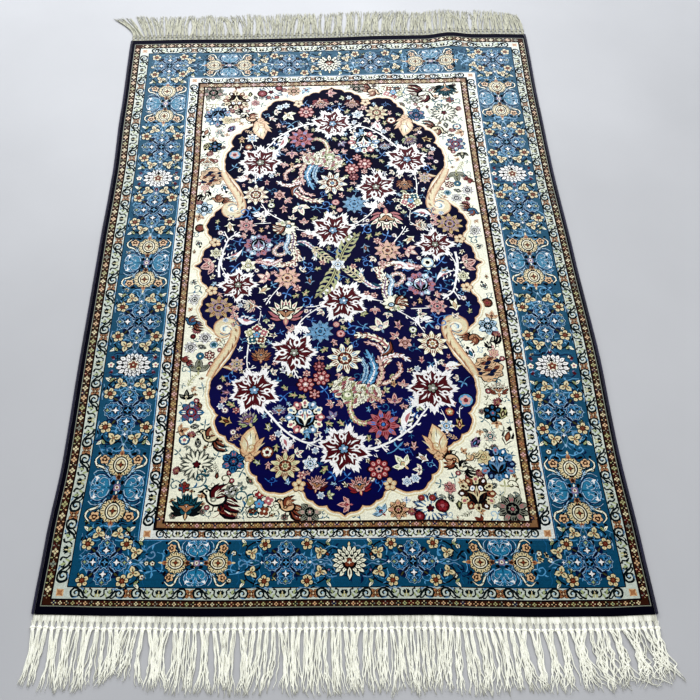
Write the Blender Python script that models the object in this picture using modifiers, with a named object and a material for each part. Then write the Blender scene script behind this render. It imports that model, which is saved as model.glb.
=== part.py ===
"""A small hand-knotted Persian rug, lying flat.

Frame: +Z up, +Y along the rug towards its far end, +X to the right. The origin is the middle of
the underside. Sizes are in metres. The knotted sheet, the two overcast side bindings and the two
knotted fringes are separate closed solids.
"""

import math
import random

import bmesh
import bpy

# ---------------------------------------------------------------- driving sizes
WIDTH = 1.000            # across the rug, over both side bindings
LENGTH = 1.440           # along the knotted sheet, fringes not counted
PILE_HEIGHT = 0.0042     # foundation and pile together
BINDING = 0.0050         # diameter of an overcast side binding
PART_GAP = 0.0003        # between pieces that touch on the real rug

SHEET_COLUMNS = 24
SHEET_ROWS = 32
BINDING_STEPS = 30

TASSELS = 96             # warp bundles at each end
FRINGE_INSET = 0.004     # from the rug's side to the first bundle
LEG_SHARE = 0.48         # width of a bundle's leg in the net, as a share of the pitch
KNOT_HEIGHT = 0.0032     # thickness of the fringe at its knots
STRIP_HEIGHT = 0.0018    # thickness of the flat-woven end strip
NET_HEIGHT = 0.0024      # thickness of the bundles between strip and knots
STRAND_SEED = 7

# How far each long edge stands out from a straight line: y, left side, right side.
SIDE_BOWS = (
    (-0.72, 0.004, 0.004),
    (-0.60, 0.002, 0.003),
    (-0.45, -0.004, 0.000),
    (-0.22, -0.002, 0.004),
    (0.00, -0.002, 0.000),
    (0.25, -0.003, -0.004),
    (0.45, 0.003, -0.002),
    (0.72, 0.009, 0.004),
)

# How far each short edge stands out: x, near end, far end.
END_BOWS = (
    (-0.50, 0.001, 0.003),
    (-0.36, 0.003, 0.004),
    (-0.22, 0.004, 0.002),
    (0.00, 0.002, 0.003),
    (0.14, 0.001, 0.007),
    (0.24, 0.003, 0.007),
    (0.31, 0.004, 0.010),
    (0.42, 0.003, 0.007),
    (0.50, 0.000, 0.004),
)

# Places where the sheet stands off the floor: x, y, height, half width, half length.
RIPPLES = (
    (0.310, 0.720, 0.0055, 0.060, 0.120),
    (-0.500, 0.080, 0.0020, 0.045, 0.090),
    (0.500, -0.260, 0.0018, 0.045, 0.110),
)

# One row for each fringe. The strip, net and knot columns are lengths away from the rug.
FRINGE_SIZES = {
    "fringe_near": dict(end=-1, strip=0.0105, net=0.0085, knot=0.0040),
    "fringe_far": dict(end=1, strip=0.0050, net=0.0080, knot=0.0035),
}

# How the free strands lie: place along the fringe from 0 to 1, sideways lean at the tip, length.
STRAND_LIE = {
    "fringe_near": (
        (0.00, -0.012, 0.098),
        (0.08, -0.008, 0.088),
        (0.12, -0.004, 0.066),
        (0.17, -0.004, 0.096),
        (0.50, 0.002, 0.102),
        (0.80, 0.006, 0.098),
        (0.94, 0.016, 0.094),
        (1.00, 0.046, 0.082),
    ),
    "fringe_far": (
        (0.00, -0.052, 0.082),
        (0.04, -0.022, 0.088),
        (0.10, -0.008, 0.084),
        (0.50, 0.004, 0.092),
        (0.88, 0.010, 0.086),
        (0.96, 0.002, 0.080),
        (1.00, -0.022, 0.074),
    ),
}

STRAND_SHAPE = (         # share of the length, share of the leg's width, thickness
    (0.12, 1.02, 0.0026),
    (0.42, 1.14, 0.0022),
    (0.76, 0.98, 0.0018),
    (1.00, 0.46, 0.0012),
)
CLUMPING = 0.34          # how unevenly neighbouring tips are spaced, 0 is even

PILE_COLOUR = (0.020, 0.030, 0.170)
BINDING_COLOUR = (0.005, 0.004, 0.020)
COTTON_COLOUR = (0.78, 0.74, 0.60)


# ---------------------------------------------------------------- helpers
def read_table(rows, place, column):
    """Smoothly interpolate one column of a table whose first column rises."""
    if place <= rows[0][0]:
        return rows[0][column]
    for low, high in zip(rows, rows[1:]):
        if place <= high[0]:
            share = (place - low[0]) / (high[0] - low[0])
            ease = share * share * (3 - 2 * share)
            return low[column] + (high[column] - low[column]) * ease
    return rows[-1][column]


def side_edge(side, y):
    """x of the rug's outer side, bindings included; side is -1 or 1."""
    bow = read_table(SIDE_BOWS, y, 1 if side < 0 else 2)
    return side * (WIDTH / 2 + bow)


def end_edge(end, x):
    """y of the knotted sheet's short edge; end is -1 or 1."""
    bow = read_table(END_BOWS, x, 1 if end < 0 else 2)
    return end * (LENGTH / 2 + bow)


def floor_lift(x, y):
    """Height of the underside over the floor, exactly 0 away from the ripples."""
    lift = 0.0
    for centre_x, centre_y, height, half_width, half_length in RIPPLES:
        across = abs(x - centre_x) / half_width
        along = abs(y - centre_y) / half_length
        if across < 1 and along < 1:
            bump_across = (1 + math.cos(math.pi * across)) / 2
            bump_along = (1 + math.cos(math.pi * along)) / 2
            lift = max(lift, height * bump_across * bump_along)
    return lift


def make_material(name, colour, roughness):
    material = bpy.data.materials.new(name)
    material.use_nodes = True
    shader = material.node_tree.nodes["Principled BSDF"]
    shader.inputs["Base Color"].default_value = (*colour, 1.0)
    shader.inputs["Roughness"].default_value = roughness
    shader.inputs["Metallic"].default_value = 0.0
    material.diffuse_color = (*colour, 1.0)
    return material


def add_object(name, data, material, collection):
    data.materials.append(material)
    piece = bpy.data.objects.new(name, data)
    collection.objects.link(piece)
    return piece


def add_solidify(piece, thickness):
    """Thicken an open sheet upwards, so that its underside keeps its place."""
    solidify = piece.modifiers.new("thickness", 'SOLIDIFY')
    solidify.thickness = thickness
    solidify.offset = 1.0
    return solidify


# ---------------------------------------------------------------- knotted sheet
def make_sheet(material, collection):
    """An open grid with the rug's outline and ripples, thickened upwards."""
    sheet = bmesh.new()
    bmesh.ops.create_grid(sheet, x_segments=SHEET_COLUMNS, y_segments=SHEET_ROWS, size=1.0)
    margin = BINDING + PART_GAP
    for vert in sheet.verts:
        u, v = vert.co.x, vert.co.y
        y_even = v * LENGTH / 2
        left = side_edge(-1, y_even) + margin
        right = side_edge(1, y_even) - margin
        x = left + (right - left) * (u + 1) / 2
        near, far = end_edge(-1, x), end_edge(1, x)
        y = near + (far - near) * (v + 1) / 2
        vert.co = (x, y, floor_lift(x, y))
    mesh = bpy.data.meshes.new("rug_body")
    sheet.to_mesh(mesh)
    sheet.free()
    piece = add_object("rug_body", mesh, material, collection)
    add_solidify(piece, PILE_HEIGHT)
    return piece


# ---------------------------------------------------------------- side bindings
def make_binding(name, side, material, collection):
    """A round overcast edge that follows the long side of the sheet."""
    path = bpy.data.curves.new(name, 'CURVE')
    path.dimensions = '3D'
    path.bevel_depth = BINDING / 2
    path.bevel_resolution = 2
    path.use_fill_caps = True
    spline = path.splines.new('POLY')
    spline.points.add(BINDING_STEPS)
    inside = BINDING + 2 * PART_GAP
    for step, point in enumerate(spline.points):
        y_even = (step / BINDING_STEPS - 0.5) * LENGTH
        x_edge = side_edge(side, y_even)
        near, far = end_edge(-1, x_edge), end_edge(1, x_edge)
        y = near + (far - near) * step / BINDING_STEPS
        lift = floor_lift(x_edge - side * inside, y)
        point.co = (x_edge - side * BINDING / 2, y, lift + BINDING / 2, 1.0)
    return add_object(name, path, material, collection)


# ---------------------------------------------------------------- fringes
def strand_tips(name, roots):
    """x of each strand's tip: the roots' order is kept, so no two strands cross."""
    rng = random.Random(STRAND_SEED + len(name))
    last = len(roots) - 1
    steps = [1.0 + CLUMPING * rng.uniform(-1, 1) for _ in range(last)]
    scale = last / sum(steps)
    tips = []
    even = 0.0
    for index, root in enumerate(roots):
        place = index / last
        lean = read_table(STRAND_LIE[name], place, 1)
        shift = (even - index) * (roots[1] - roots[0])
        tips.append(root + lean + shift)
        if index < last:
            even += steps[index] * scale
    return tips


def make_fringe(name, material, collection):
    """A flat-woven strip, a row of net openings, a row of knots and the free strands."""
    sizes = FRINGE_SIZES[name]
    end = sizes["end"]
    rng = random.Random(STRAND_SEED + end)
    left = side_edge(-1, end * LENGTH / 2) + FRINGE_INSET
    right = side_edge(1, end * LENGTH / 2) - FRINGE_INSET
    pitch = (right - left) / (TASSELS - 1 + LEG_SHARE)
    leg = pitch * LEG_SHARE
    roots = [left + leg / 2 + index * pitch for index in range(TASSELS)]
    tips = strand_tips(name, roots)

    plan = bmesh.new()
    weight = plan.verts.layers.deform.verify()

    def add_point(x, away, thickness):
        """A plan point at a distance from the rug's edge, and how thick the fringe is there."""
        edge = end_edge(end, x) + end * PART_GAP
        drop = max(0.0, 1 - away / 0.045)
        vert = plan.verts.new((x, edge + end * away, floor_lift(x, edge) * drop * drop))
        vert[weight][0] = thickness / KNOT_HEIGHT
        return vert

    def add_face(verts):
        """A face that looks up at either end of the rug."""
        plan.faces.new(verts if end < 0 else verts[::-1])

    def add_row(away, thickness):
        row = []
        for root in roots:
            row.append(add_point(root - leg / 2, away, thickness))
            row.append(add_point(root + leg / 2, away, thickness))
        return row

    def join_rows(upper, lower, step):
        for index in range(0, len(upper) - 1, step):
            add_face((upper[index], lower[index], lower[index + 1], upper[index + 1]))

    net_start = sizes["strip"]
    knot_start = net_start + sizes["net"]
    strand_start = knot_start + sizes["knot"]
    edge_row = add_row(0.0, STRIP_HEIGHT)
    strip_row = add_row(net_start, STRIP_HEIGHT)
    knot_row = add_row(knot_start, NET_HEIGHT)
    strand_row = add_row(strand_start, KNOT_HEIGHT)
    join_rows(edge_row, strip_row, 1)
    join_rows(strip_row, knot_row, 2)
    join_rows(knot_row, strand_row, 1)

    last = TASSELS - 1
    reach = max(row[2] for row in STRAND_LIE[name])
    for index in range(TASSELS):
        length = read_table(STRAND_LIE[name], index / last, 2) * rng.uniform(0.93, 1.03)
        upper = (strand_row[2 * index], strand_row[2 * index + 1])
        for share, width_share, thickness in STRAND_SHAPE:
            away = share * length
            bend = (away / reach) ** 1.5
            x = roots[index] + (tips[index] - roots[index]) * bend
            half = leg * width_share / 2
            lower = (
                add_point(x - half, strand_start + away, thickness),
                add_point(x + half, strand_start + away, thickness),
            )
            add_face((upper[0], lower[0], lower[1], upper[1]))
            upper = lower

    mesh = bpy.data.meshes.new(name)
    plan.to_mesh(mesh)
    plan.free()
    piece = add_object(name, mesh, material, collection)
    piece.vertex_groups.new(name="thickness")
    solidify = add_solidify(piece, KNOT_HEIGHT)
    solidify.vertex_group = "thickness"
    return piece


# ---------------------------------------------------------------- the rug
def main():
    for leftover in list(bpy.data.objects):
        bpy.data.objects.remove(leftover, do_unlink=True)
    collection = bpy.data.collections.new("persian_rug")
    bpy.context.scene.collection.children.link(collection)
    pile = make_material("silk_pile", PILE_COLOUR, 0.75)
    overcast = make_material("navy_overcast", BINDING_COLOUR, 0.80)
    cotton = make_material("cotton_warp", COTTON_COLOUR, 0.90)
    make_sheet(pile, collection)
    make_binding("side_binding_left", -1, overcast, collection)
    make_binding("side_binding_right", 1, overcast, collection)
    for name in FRINGE_SIZES:
        make_fringe(name, cotton, collection)


main()
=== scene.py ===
"""The looks of a small hand-knotted Persian rug with a floral navy field, built round its CAD frame.

The pattern is drawn as filled outlines in the plane, cut into a mosaic of coloured triangles and
laid over the frame's sheet. Bindings and fringes are modelled thread by thread. Sizes of the
pattern are in millimetres on an even rectangle, and all else is in metres.
"""

import math
import random

import bpy
import numpy as np
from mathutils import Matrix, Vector
from mathutils.geometry import delaunay_2d_cdt


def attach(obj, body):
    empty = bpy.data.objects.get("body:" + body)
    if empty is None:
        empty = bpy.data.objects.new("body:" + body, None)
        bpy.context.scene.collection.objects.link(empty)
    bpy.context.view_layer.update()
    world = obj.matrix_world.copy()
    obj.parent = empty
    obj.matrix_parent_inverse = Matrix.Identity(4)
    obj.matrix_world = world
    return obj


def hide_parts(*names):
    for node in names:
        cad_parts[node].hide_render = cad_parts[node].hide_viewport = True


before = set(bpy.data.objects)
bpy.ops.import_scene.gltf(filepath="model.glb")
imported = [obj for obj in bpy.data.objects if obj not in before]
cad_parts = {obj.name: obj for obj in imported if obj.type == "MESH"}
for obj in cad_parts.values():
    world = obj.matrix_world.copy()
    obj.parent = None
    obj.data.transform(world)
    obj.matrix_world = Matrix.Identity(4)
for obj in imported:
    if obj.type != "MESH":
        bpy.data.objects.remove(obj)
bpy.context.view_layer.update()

# ================================================================ camera, floor and light
CAMERA_PLACE = (-0.04245, -1.03150, 1.30953)
CAMERA_TURN = (0.555507, 0.023711, 0.006650)
CAMERA_LENS = 40.73
CAMERA_SHIFT = 0.0786
FLOOR_GREY = (0.48, 0.48, 0.495)
FLOOR_MOTTLE = (0.93, 1.06)      # the darkest and the lightest patch, as shares of that grey
FLOOR_HALF = 30
FLOOR_DROP = 0.0002              # keeps the floor's plane clear of the rug's underside
AIR_TINT = (0.90, 0.95, 1.0, 1.0)
AIR_STRENGTH = 0.34
# Soft panels of light: name, place, the point that it faces, size, power, colour.
PANELS = (
    ("far_window", (-0.3, 2.5, 1.6), (0, 0.5, 0), (3.2, 1.4), 80, (0.94, 0.97, 1.0)),
    ("ceiling", (0.3, -0.3, 3.0), (0, 0, 0), (3.0, 3.0), 42, (1.0, 0.99, 0.97)),
)


def add_object(name, data):
    thing = bpy.data.objects.new(name, data)
    bpy.context.scene.collection.objects.link(thing)
    return thing


def add_camera():
    """The photograph's view: a hand-held camera above the near end."""
    data = bpy.data.cameras.new("view")
    data.sensor_width = 36
    data.lens = CAMERA_LENS
    data.shift_x = CAMERA_SHIFT
    camera = add_object("view", data)
    camera.location = CAMERA_PLACE
    camera.rotation_euler = CAMERA_TURN
    bpy.context.scene.camera = camera


def add_panel(name, place, aim, size, power, colour):
    """A soft studio light: a wide glowing panel that faces a point."""
    data = bpy.data.lights.new(name, 'AREA')
    data.shape = 'RECTANGLE'
    data.size, data.size_y = size
    data.energy = power
    data.color = colour
    panel = add_object(name, data)
    panel.location = place
    panel.rotation_euler = (Vector(aim) - Vector(place)).to_track_quat('-Z', 'Y').to_euler()


def add_node(tree, kind, settings=None, links=None):
    """A shader node; links gives a number, a colour or another node's output for each input."""
    node = tree.nodes.new("ShaderNode" + kind)
    for name, value in (settings or {}).items():
        setattr(node, name, value)
    for name, value in (links or {}).items():
        socket = node.inputs[name]
        if isinstance(value, bpy.types.NodeSocket):
            tree.links.new(value, socket)
        else:
            socket.default_value = value
    return node


def maths(tree, operation, *values):
    """The result of a node that works on numbers."""
    return add_node(tree, "Math", {"operation": operation}, dict(enumerate(values))).outputs[0]


def vector_maths(tree, operation, *values):
    """The result of a node that works on places or colours."""
    return add_node(tree, "VectorMath", {"operation": operation}, dict(enumerate(values))).outputs[0]


def new_material(name, **values):
    """A material, its node tree and its shader, with the shader's even values set."""
    material = bpy.data.materials.new(name)
    material.use_nodes = True
    tree = material.node_tree
    shader = tree.nodes["Principled BSDF"]
    for socket, value in values.items():
        shader.inputs[socket.replace("_", " ")].default_value = value
    return material, tree, shader


def add_floor():
    """A wide pale floor with soft grey clouds."""
    material, tree, shader = new_material("pale_floor", Roughness=0.62)
    place = add_node(tree, "TexCoord").outputs["Object"]
    cloud = add_node(tree, "TexNoise", links={"Vector": place, "Scale": 1.7, "Detail": 5.0})
    tint = add_node(tree, "ValToRGB", links={"Fac": cloud.outputs["Fac"]})
    for stop, share, factor in zip(tint.color_ramp.elements, (0.3, 0.7), FLOOR_MOTTLE):
        stop.position = share
        stop.color = (*(grey * factor for grey in FLOOR_GREY), 1.0)
    tree.links.new(tint.outputs["Color"], shader.inputs["Base Color"])
    mesh = bpy.data.meshes.new("floor")
    corners = [(x * FLOOR_HALF, y * FLOOR_HALF, 0) for x, y in ((-1, -1), (1, -1), (1, 1), (-1, 1))]
    mesh.from_pydata(corners, [], [(0, 1, 2, 3)])
    mesh.materials.append(material)
    floor = add_object("floor", mesh)
    floor.location.z = -FLOOR_DROP


def add_world():
    """Even, faintly blue light from all round."""
    world = bpy.data.worlds.new("soft_room")
    world.use_nodes = True
    air = world.node_tree.nodes["Background"]
    air.inputs["Color"].default_value = AIR_TINT
    air.inputs["Strength"].default_value = AIR_STRENGTH
    bpy.context.scene.world = world


add_camera()
add_floor()
add_world()
bpy.context.scene.view_settings.view_transform = 'Standard'
bpy.context.scene.view_settings.look = 'Medium High Contrast'
for panel in PANELS:
    add_panel(*panel)

# ================================================================ the drawing in the plane
# The pattern is drawn in millimetres on an even rectangle: x to the right, y away from the
# viewer, (0, 0) in the middle of the rug. Later shapes lie over earlier ones.

PALETTE = {
    # name: red, green, blue, as seen on the pile
    "ink": (10, 8, 18),
    "strip": (4, 3, 30),
    # The four navies below are painted shade: the field's ground, drawn darker away from the viewer.
    "navy": (8, 5, 84),
    "navy haze": (7, 4, 74),
    "navy dusk": (6, 4, 62),
    "navy night": (6, 3, 52),
    "navy deep": (5, 3, 44),
    "marine": (14, 34, 78),
    "blue": (30, 92, 120),
    "cobalt": (44, 112, 152),
    "azure": (108, 168, 206),
    "sky": (66, 130, 200),
    "ice": (176, 204, 222),
    "steel": (124, 158, 188),
    "teal": (36, 98, 112),
    "white": (246, 244, 242),
    "cream": (244, 242, 222),
    "guard": (208, 214, 204),
    "pearl": (230, 232, 226),
    "sage": (176, 186, 142),
    "olive": (188, 186, 140),
    "moss": (84, 84, 56),
    "gold": (200, 174, 122),
    "straw": (228, 216, 180),
    "peach": (224, 190, 152),
    "apricot": (184, 138, 102),
    "rust": (136, 76, 54),
    "brown": (72, 40, 26),
    "burgundy": (92, 16, 30),
    "red": (148, 48, 58),
    "rose": (186, 116, 122),
    "pink": (220, 180, 172),
    "mauve": (152, 128, 158),
    "grey": (150, 152, 138),
    "pine": (14, 30, 34),
    "lagoon": (60, 138, 170),
    "tan": (150, 116, 84),
}


class Sketch:
    """Filled outlines with a colour each."""

    def __init__(self):
        self.shapes = []

    def fill(self, colour, points):
        self.shapes.append((colour, points))

    def put(self, motif, x, y, turn=0.0, size=1.0, flip=False, dyes=None):
        """Copy a motif here: turned in degrees, scaled, mirrored and dyed in other colours."""
        cos = math.cos(math.radians(turn)) * size
        sin = math.sin(math.radians(turn)) * size
        side = -1 if flip else 1
        for colour, points in motif.shapes:
            moved = [(x + cos * side * px - sin * py, y + sin * side * px + cos * py)
                     for px, py in points]
            self.shapes.append((dyes.get(colour, colour) if dyes else colour, moved))


def oval(x, y, width, height=None, turn=0.0, sides=None):
    """An ellipse by its half width and half height."""
    height = width if height is None else height
    sides = sides or max(6, min(20, int(5 + (width + height) * 0.7)))
    angle = math.radians(turn)
    cos, sin = math.cos(angle), math.sin(angle)
    points = []
    for step in range(sides):
        around = 2 * math.pi * step / sides
        px, py = width * math.cos(around), height * math.sin(around)
        points.append((x + cos * px - sin * py, y + sin * px + cos * py))
    return points


def scallop(petals, outer, inner, turn=90.0, x=0.0, y=0.0, plump=0.55):
    """A flower's outline: round petals that meet at the inner radius."""
    points = []
    for petal in range(petals):
        middle = math.radians(turn + 360 * petal / petals)
        half = math.pi / petals
        for share, radius in ((-1.0, inner), (-plump, outer * 0.95), (0.0, outer * 1.04),
                              (plump, outer * 0.95)):
            angle = middle + share * half
            points.append((x + radius * math.cos(angle), y + radius * math.sin(angle)))
    return points


def burst(tips, outer, inner, turn=90.0, x=0.0, y=0.0):
    """A star with straight points."""
    points = []
    for step in range(2 * tips):
        angle = math.radians(turn + 180 * step / tips)
        radius = inner if step % 2 else outer
        points.append((x + radius * math.cos(angle), y + radius * math.sin(angle)))
    return points


# The teeth of a leafy star's ray: share of its half angle, share of its length.
TEETH = ((-0.84, 0.06), (-0.70, 0.52), (-0.56, 0.34), (-0.36, 0.86), (-0.24, 0.66), (0.0, 1.0),
         (0.24, 0.66), (0.36, 0.86), (0.56, 0.34), (0.70, 0.52), (0.84, 0.06))


def serrated(rays, turn=90.0, squash=1.0):
    """A leafy star: each ray is (length, valley) and has small teeth on both flanks."""
    points = []
    count = len(rays)
    for index, (length, valley) in enumerate(rays):
        middle = math.radians(turn + 360 * index / count)
        half = math.pi / count
        points.append((valley * math.cos(middle - half), valley * math.sin(middle - half) * squash))
        for share, out in TEETH:
            radius = valley + (length - valley) * out
            angle = middle + share * half
            points.append((radius * math.cos(angle), radius * math.sin(angle) * squash))
    return points


def polar(radius, degrees, x=0.0, y=0.0):
    """The place at a distance and a turn from (x, y)."""
    angle = math.radians(degrees)
    return x + radius * math.cos(angle), y + radius * math.sin(angle)


def smooth(nodes, steps=4, closed=False):
    """Points on a smooth curve through the nodes."""
    count = len(nodes)
    spans = count if closed else count - 1
    points = []
    for index in range(spans):
        if closed:
            before, start, end, after = (nodes[(index + shift) % count] for shift in (-1, 0, 1, 2))
        else:
            before, start, end, after = (nodes[min(max(index + shift, 0), count - 1)]
                                         for shift in (-1, 0, 1, 2))
        for step in range(steps):
            t = step / steps
            points.append(tuple(
                0.5 * (2 * b + (c - a) * t + (2 * a - 5 * b + 4 * c - d) * t * t
                       + (3 * b - 3 * c + d - a) * t ** 3)
                for a, b, c, d in zip(before, start, end, after)))
    if not closed:
        points.append(tuple(nodes[-1]))
    return points


def ribbon(path, width, tail=None, belly=0.0):
    """A band along a path: its width runs from width to tail, and swells by belly between."""
    tail = width if tail is None else tail
    left, right = [], []
    last = len(path) - 1
    for index, (x, y) in enumerate(path):
        ahead = path[min(index + 1, last)]
        behind = path[max(index - 1, 0)]
        dx, dy = ahead[0] - behind[0], ahead[1] - behind[1]
        length = math.hypot(dx, dy) or 1.0
        share = index / last
        half = (width + (tail - width) * share) / 2 + belly / 2 * math.sin(math.pi * share)
        left.append((x - dy / length * half, y + dx / length * half))
        right.append((x + dy / length * half, y - dx / length * half))
    return left + right[::-1]


LEAF_WIDTHS = (0.66, 1.0, 0.92, 0.55)        # at 1, 2, 3 and 4 fifths of a leaf's length


def leaf(x, y, turn, length, width, bend=0.0):
    """A pointed leaf that starts at (x, y) and runs in the direction of turn."""
    path = []
    for step in range(6):
        share = step / 5
        px, py = length * share, bend * length * math.sin(math.pi * share)
        angle = math.radians(turn)
        path.append((x + px * math.cos(angle) - py * math.sin(angle),
                     y + px * math.sin(angle) + py * math.cos(angle)))
    left, right = [], []
    for index in range(1, 5):
        ahead, behind = path[index + 1], path[index - 1]
        dx, dy = ahead[0] - behind[0], ahead[1] - behind[1]
        norm = math.hypot(dx, dy) or 1.0
        half = width / 2 * LEAF_WIDTHS[index - 1]
        left.append((path[index][0] - dy / norm * half, path[index][1] + dx / norm * half))
        right.append((path[index][0] + dy / norm * half, path[index][1] - dx / norm * half))
    return [path[0]] + left + [path[5]] + right[::-1]


def coil(x, y, radius, start, sweep, tighten=0.25, steps=12):
    """Points on a spiral that closes towards its centre."""
    points = []
    for step in range(steps + 1):
        share = step / steps
        points.append(polar(radius * (1 - (1 - tighten) * share), start + sweep * share, x, y))
    return points


def rectangle(left, near, right, far):
    """Its four corners, anticlockwise."""
    return [(left, near), (right, near), (right, far), (left, far)]


# ---------------------------------------------------------------- the bands
# Outer edge of each band: left, near, right, far. The weave isn't quite centred.
BANDS = {
    "rug": (-494.4, -720, 494.4, 720),
    "outer florets": (-487, -708, 491, 703),
    "outer scrolls": (-471, -696, 477, 687),
    "main border": (-447, -675, 456, 665),
    "inner scrolls": (-339, -594, 358, 571),
    "inner florets": (-316, -577, 336, 552),
    "field": (-301, -564, 321, 536),
}


def inset(band, distance):
    """The edges of a band, moved inwards."""
    left, near, right, far = BANDS[band]
    return left + distance, near + distance, right - distance, far - distance


def middle_lines(band, inner):
    """The middle of the ground between two outlines: left x, near y, right x and far y."""
    return [(outside + inside) / 2 for outside, inside in zip(BANDS[band], BANDS[inner])]


def guard_sides(band, inner):
    """The middle line of a guard on each side: both ends, length, turn, width, turn of the fans."""
    in_left, in_near, in_right, in_far = BANDS[inner]
    left_x, near_y, right_x, far_y = middle_lines(band, inner)
    widths = [abs(outside - inside) for outside, inside in zip(BANDS[band], BANDS[inner])]
    for x0, y0, x1, y1, width, fan_turn in (
            (left_x, in_near, left_x, in_far, widths[0], 0),
            (right_x, in_near, right_x, in_far, widths[2], 180),
            (in_left, near_y, in_right, near_y, widths[1], 0),
            (in_left, far_y, in_right, far_y, widths[3], 180)):
        length = math.hypot(x1 - x0, y1 - y0)
        turn = math.degrees(math.atan2(y1 - y0, x1 - x0))
        yield x0, y0, x1, y1, length, turn, width, fan_turn


GUARD_RIM = 2.4          # mm between a floret and the guard's edge
FLORET_REPEAT = 42       # mm that four cells of a floret guard take up


def draw_floret_guard(sketch, band, inner, dyes, seed):
    """Small flowers and bars along the middle of a narrow guard."""
    rng = random.Random(seed)
    for x0, y0, x1, y1, length, turn, width, _ in guard_sides(band, inner):
        count = max(4, 4 * round(length / FLORET_REPEAT))
        step = length / count
        half = width / 2 - GUARD_RIM
        for index in range(count):
            share = (index + 0.5) / count
            cell = Sketch()
            if index % 2:
                colour = dyes[index // 2 % 3] if rng.random() < 0.8 else rng.choice(dyes)
                cell.fill("ink", scallop(4, half * 1.12, half * 0.70, 90))
                cell.fill(colour, scallop(4, half * 0.94, half * 0.46, 90))
                cell.fill("brown", burst(4, half * 0.70, 0.8, 45))
                cell.fill(rng.choice(("rust", "burgundy", "teal")), oval(0, 0, 1.2, sides=5))
            else:
                petal = "ink" if index % 4 else rng.choice(("brown", "burgundy", "marine"))
                for side in (-1, 1):
                    cell.fill(petal, leaf(side * step * 0.42, half, 90 + side * 128, step, 2.6))
                    cell.fill(rng.choice(dyes), leaf(0, side * half * 0.34, 90 * side, half * 0.8, 2.6))
                    cell.fill(rng.choice(dyes), leaf(side * step * 0.14, 0, 90 - 90 * side,
                                                     step * 0.3, 1.8))
            sketch.put(cell, x0 + (x1 - x0) * share, y0 + (y1 - y0) * share, turn)


SCROLL_REACH = 54        # mm from a crossed rosette to the next fan, before it is fitted
SCROLL_WIDTH = 19.5      # mm that the scrolls take up across the guard


def make_scroll_half():
    """From a crossed rosette at 0 to a fan palmette at 54: one curl, one wave, two leaves."""
    half = Sketch()
    for nodes, width, tail in (
            (((10.5, 7.6), (6.6, 4.0), (7.4, -3.6), (13.2, -7.4), (20.0, -5.2), (21.4, 1.6),
              (16.6, 4.6), (12.6, 1.2), (15.2, -2.2)), 4.0, 2.6),
            (((9.8, 8.2), (18.5, 7.6), (25.5, 2.2), (31.0, -5.4), (38.5, -8.0)), 3.0, 3.6),
            (((22.0, -3.0), (26.5, -7.6), (31.5, -8.2)), 1.8, 2.8),
            (((30.5, 8.4), (28.6, 2.6), (33.2, 0.2), (37.2, 3.4)), 2.8, 2.0),
            (((38.0, 8.2), (43.5, 5.4), (42.6, -1.4), (47.5, -6.2)), 3.0, 2.4)):
        half.fill("pine", ribbon(smooth(nodes, 3), width, tail))
    half.fill("sage", leaf(30.5, 7.0, -70, 9.5, 4.2, 0.12))
    half.fill("sage", leaf(36.4, -6.6, 62, 8.5, 3.6, -0.12))
    half.fill("ice", oval(16.2, 0.8, 1.8, sides=6))
    half.fill("steel", leaf(10.0, -8.4, 14, 10.5, 2.6, -0.1))
    half.fill("steel", leaf(22.0, 8.4, -20, 9.0, 2.6, 0.1))
    return half


def make_scroll_cross():
    """A rosette of four crossed petals."""
    cross = Sketch()
    for turn in (45, 135, 225, 315):
        cross.fill("brown", leaf(*polar(0.2, turn), turn, 10.2, 7.0))
        cross.fill("apricot", leaf(*polar(0.6, turn), turn, 8.8, 4.8))
        cross.fill("brown", leaf(*polar(1.2, turn), turn, 4.8, 2.2))
    cross.fill("straw", oval(0, 0, 1.6, sides=6))
    return cross


def make_scroll_fan():
    """A small fan palmette of five petals on a pale bud."""
    fan = Sketch()
    for turn, length in ((38, 8.6), (64, 9.4), (90, 8.6), (116, 9.4), (142, 8.6)):
        fan.fill("pine", leaf(0, -1.5, turn, length, 4.6))
    fan.fill("pine", oval(0, -0.6, 4.6, 3.6))
    fan.fill("olive", oval(0, -3.4, 4.6, 3.2, sides=8))
    fan.fill("guard", leaf(0, -6.8, 90, 6.4, 2.6))
    fan.fill("straw", leaf(0, -1.2, 90, 7.0, 2.0))
    for side in (-1, 1):
        fan.fill("moss", oval(side * 5.6, -5.6, 1.4, 1.8, sides=6))
    return fan


def draw_scroll_guard(sketch, band, inner):
    """Curls between crossed rosettes and fans, mirrored about each of them."""
    half, cross, fan = make_scroll_half(), make_scroll_cross(), make_scroll_fan()
    for x0, y0, x1, y1, length, turn, width, fan_turn in guard_sides(band, inner):
        size = (width - GUARD_RIM) / SCROLL_WIDTH
        count = 2 * round(length / (SCROLL_REACH * size) / 2)
        reach = length / count / SCROLL_REACH
        for index in range(count + 1):
            share = index / count
            x, y = x0 + (x1 - x0) * share, y0 + (y1 - y0) * share
            if index % 2:
                sketch.put(fan, x, y, turn + fan_turn, size)
            elif 0 < index < count:
                sketch.put(cross, x, y, turn, size)
            if index % 2:
                # The curl after a fan is drawn back from the rosette that follows.
                after_x = x0 + (x1 - x0) * (index + 1) / count
                after_y = y0 + (y1 - y0) * (index + 1) / count
                sketch.put(half, after_x, after_y, turn, min(size, reach), flip=True)
            elif index < count:
                sketch.put(half, x, y, turn, min(size, reach))
    left_x, near_y, right_x, far_y = middle_lines(band, inner)
    for x in (left_x, right_x):
        for y in (near_y, far_y):
            sketch.fill("peach", rectangle(x - 6, y - 6, x + 6, y + 6))
            sketch.fill("apricot", burst(4, 7.5, 3, 45, x, y))


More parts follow.
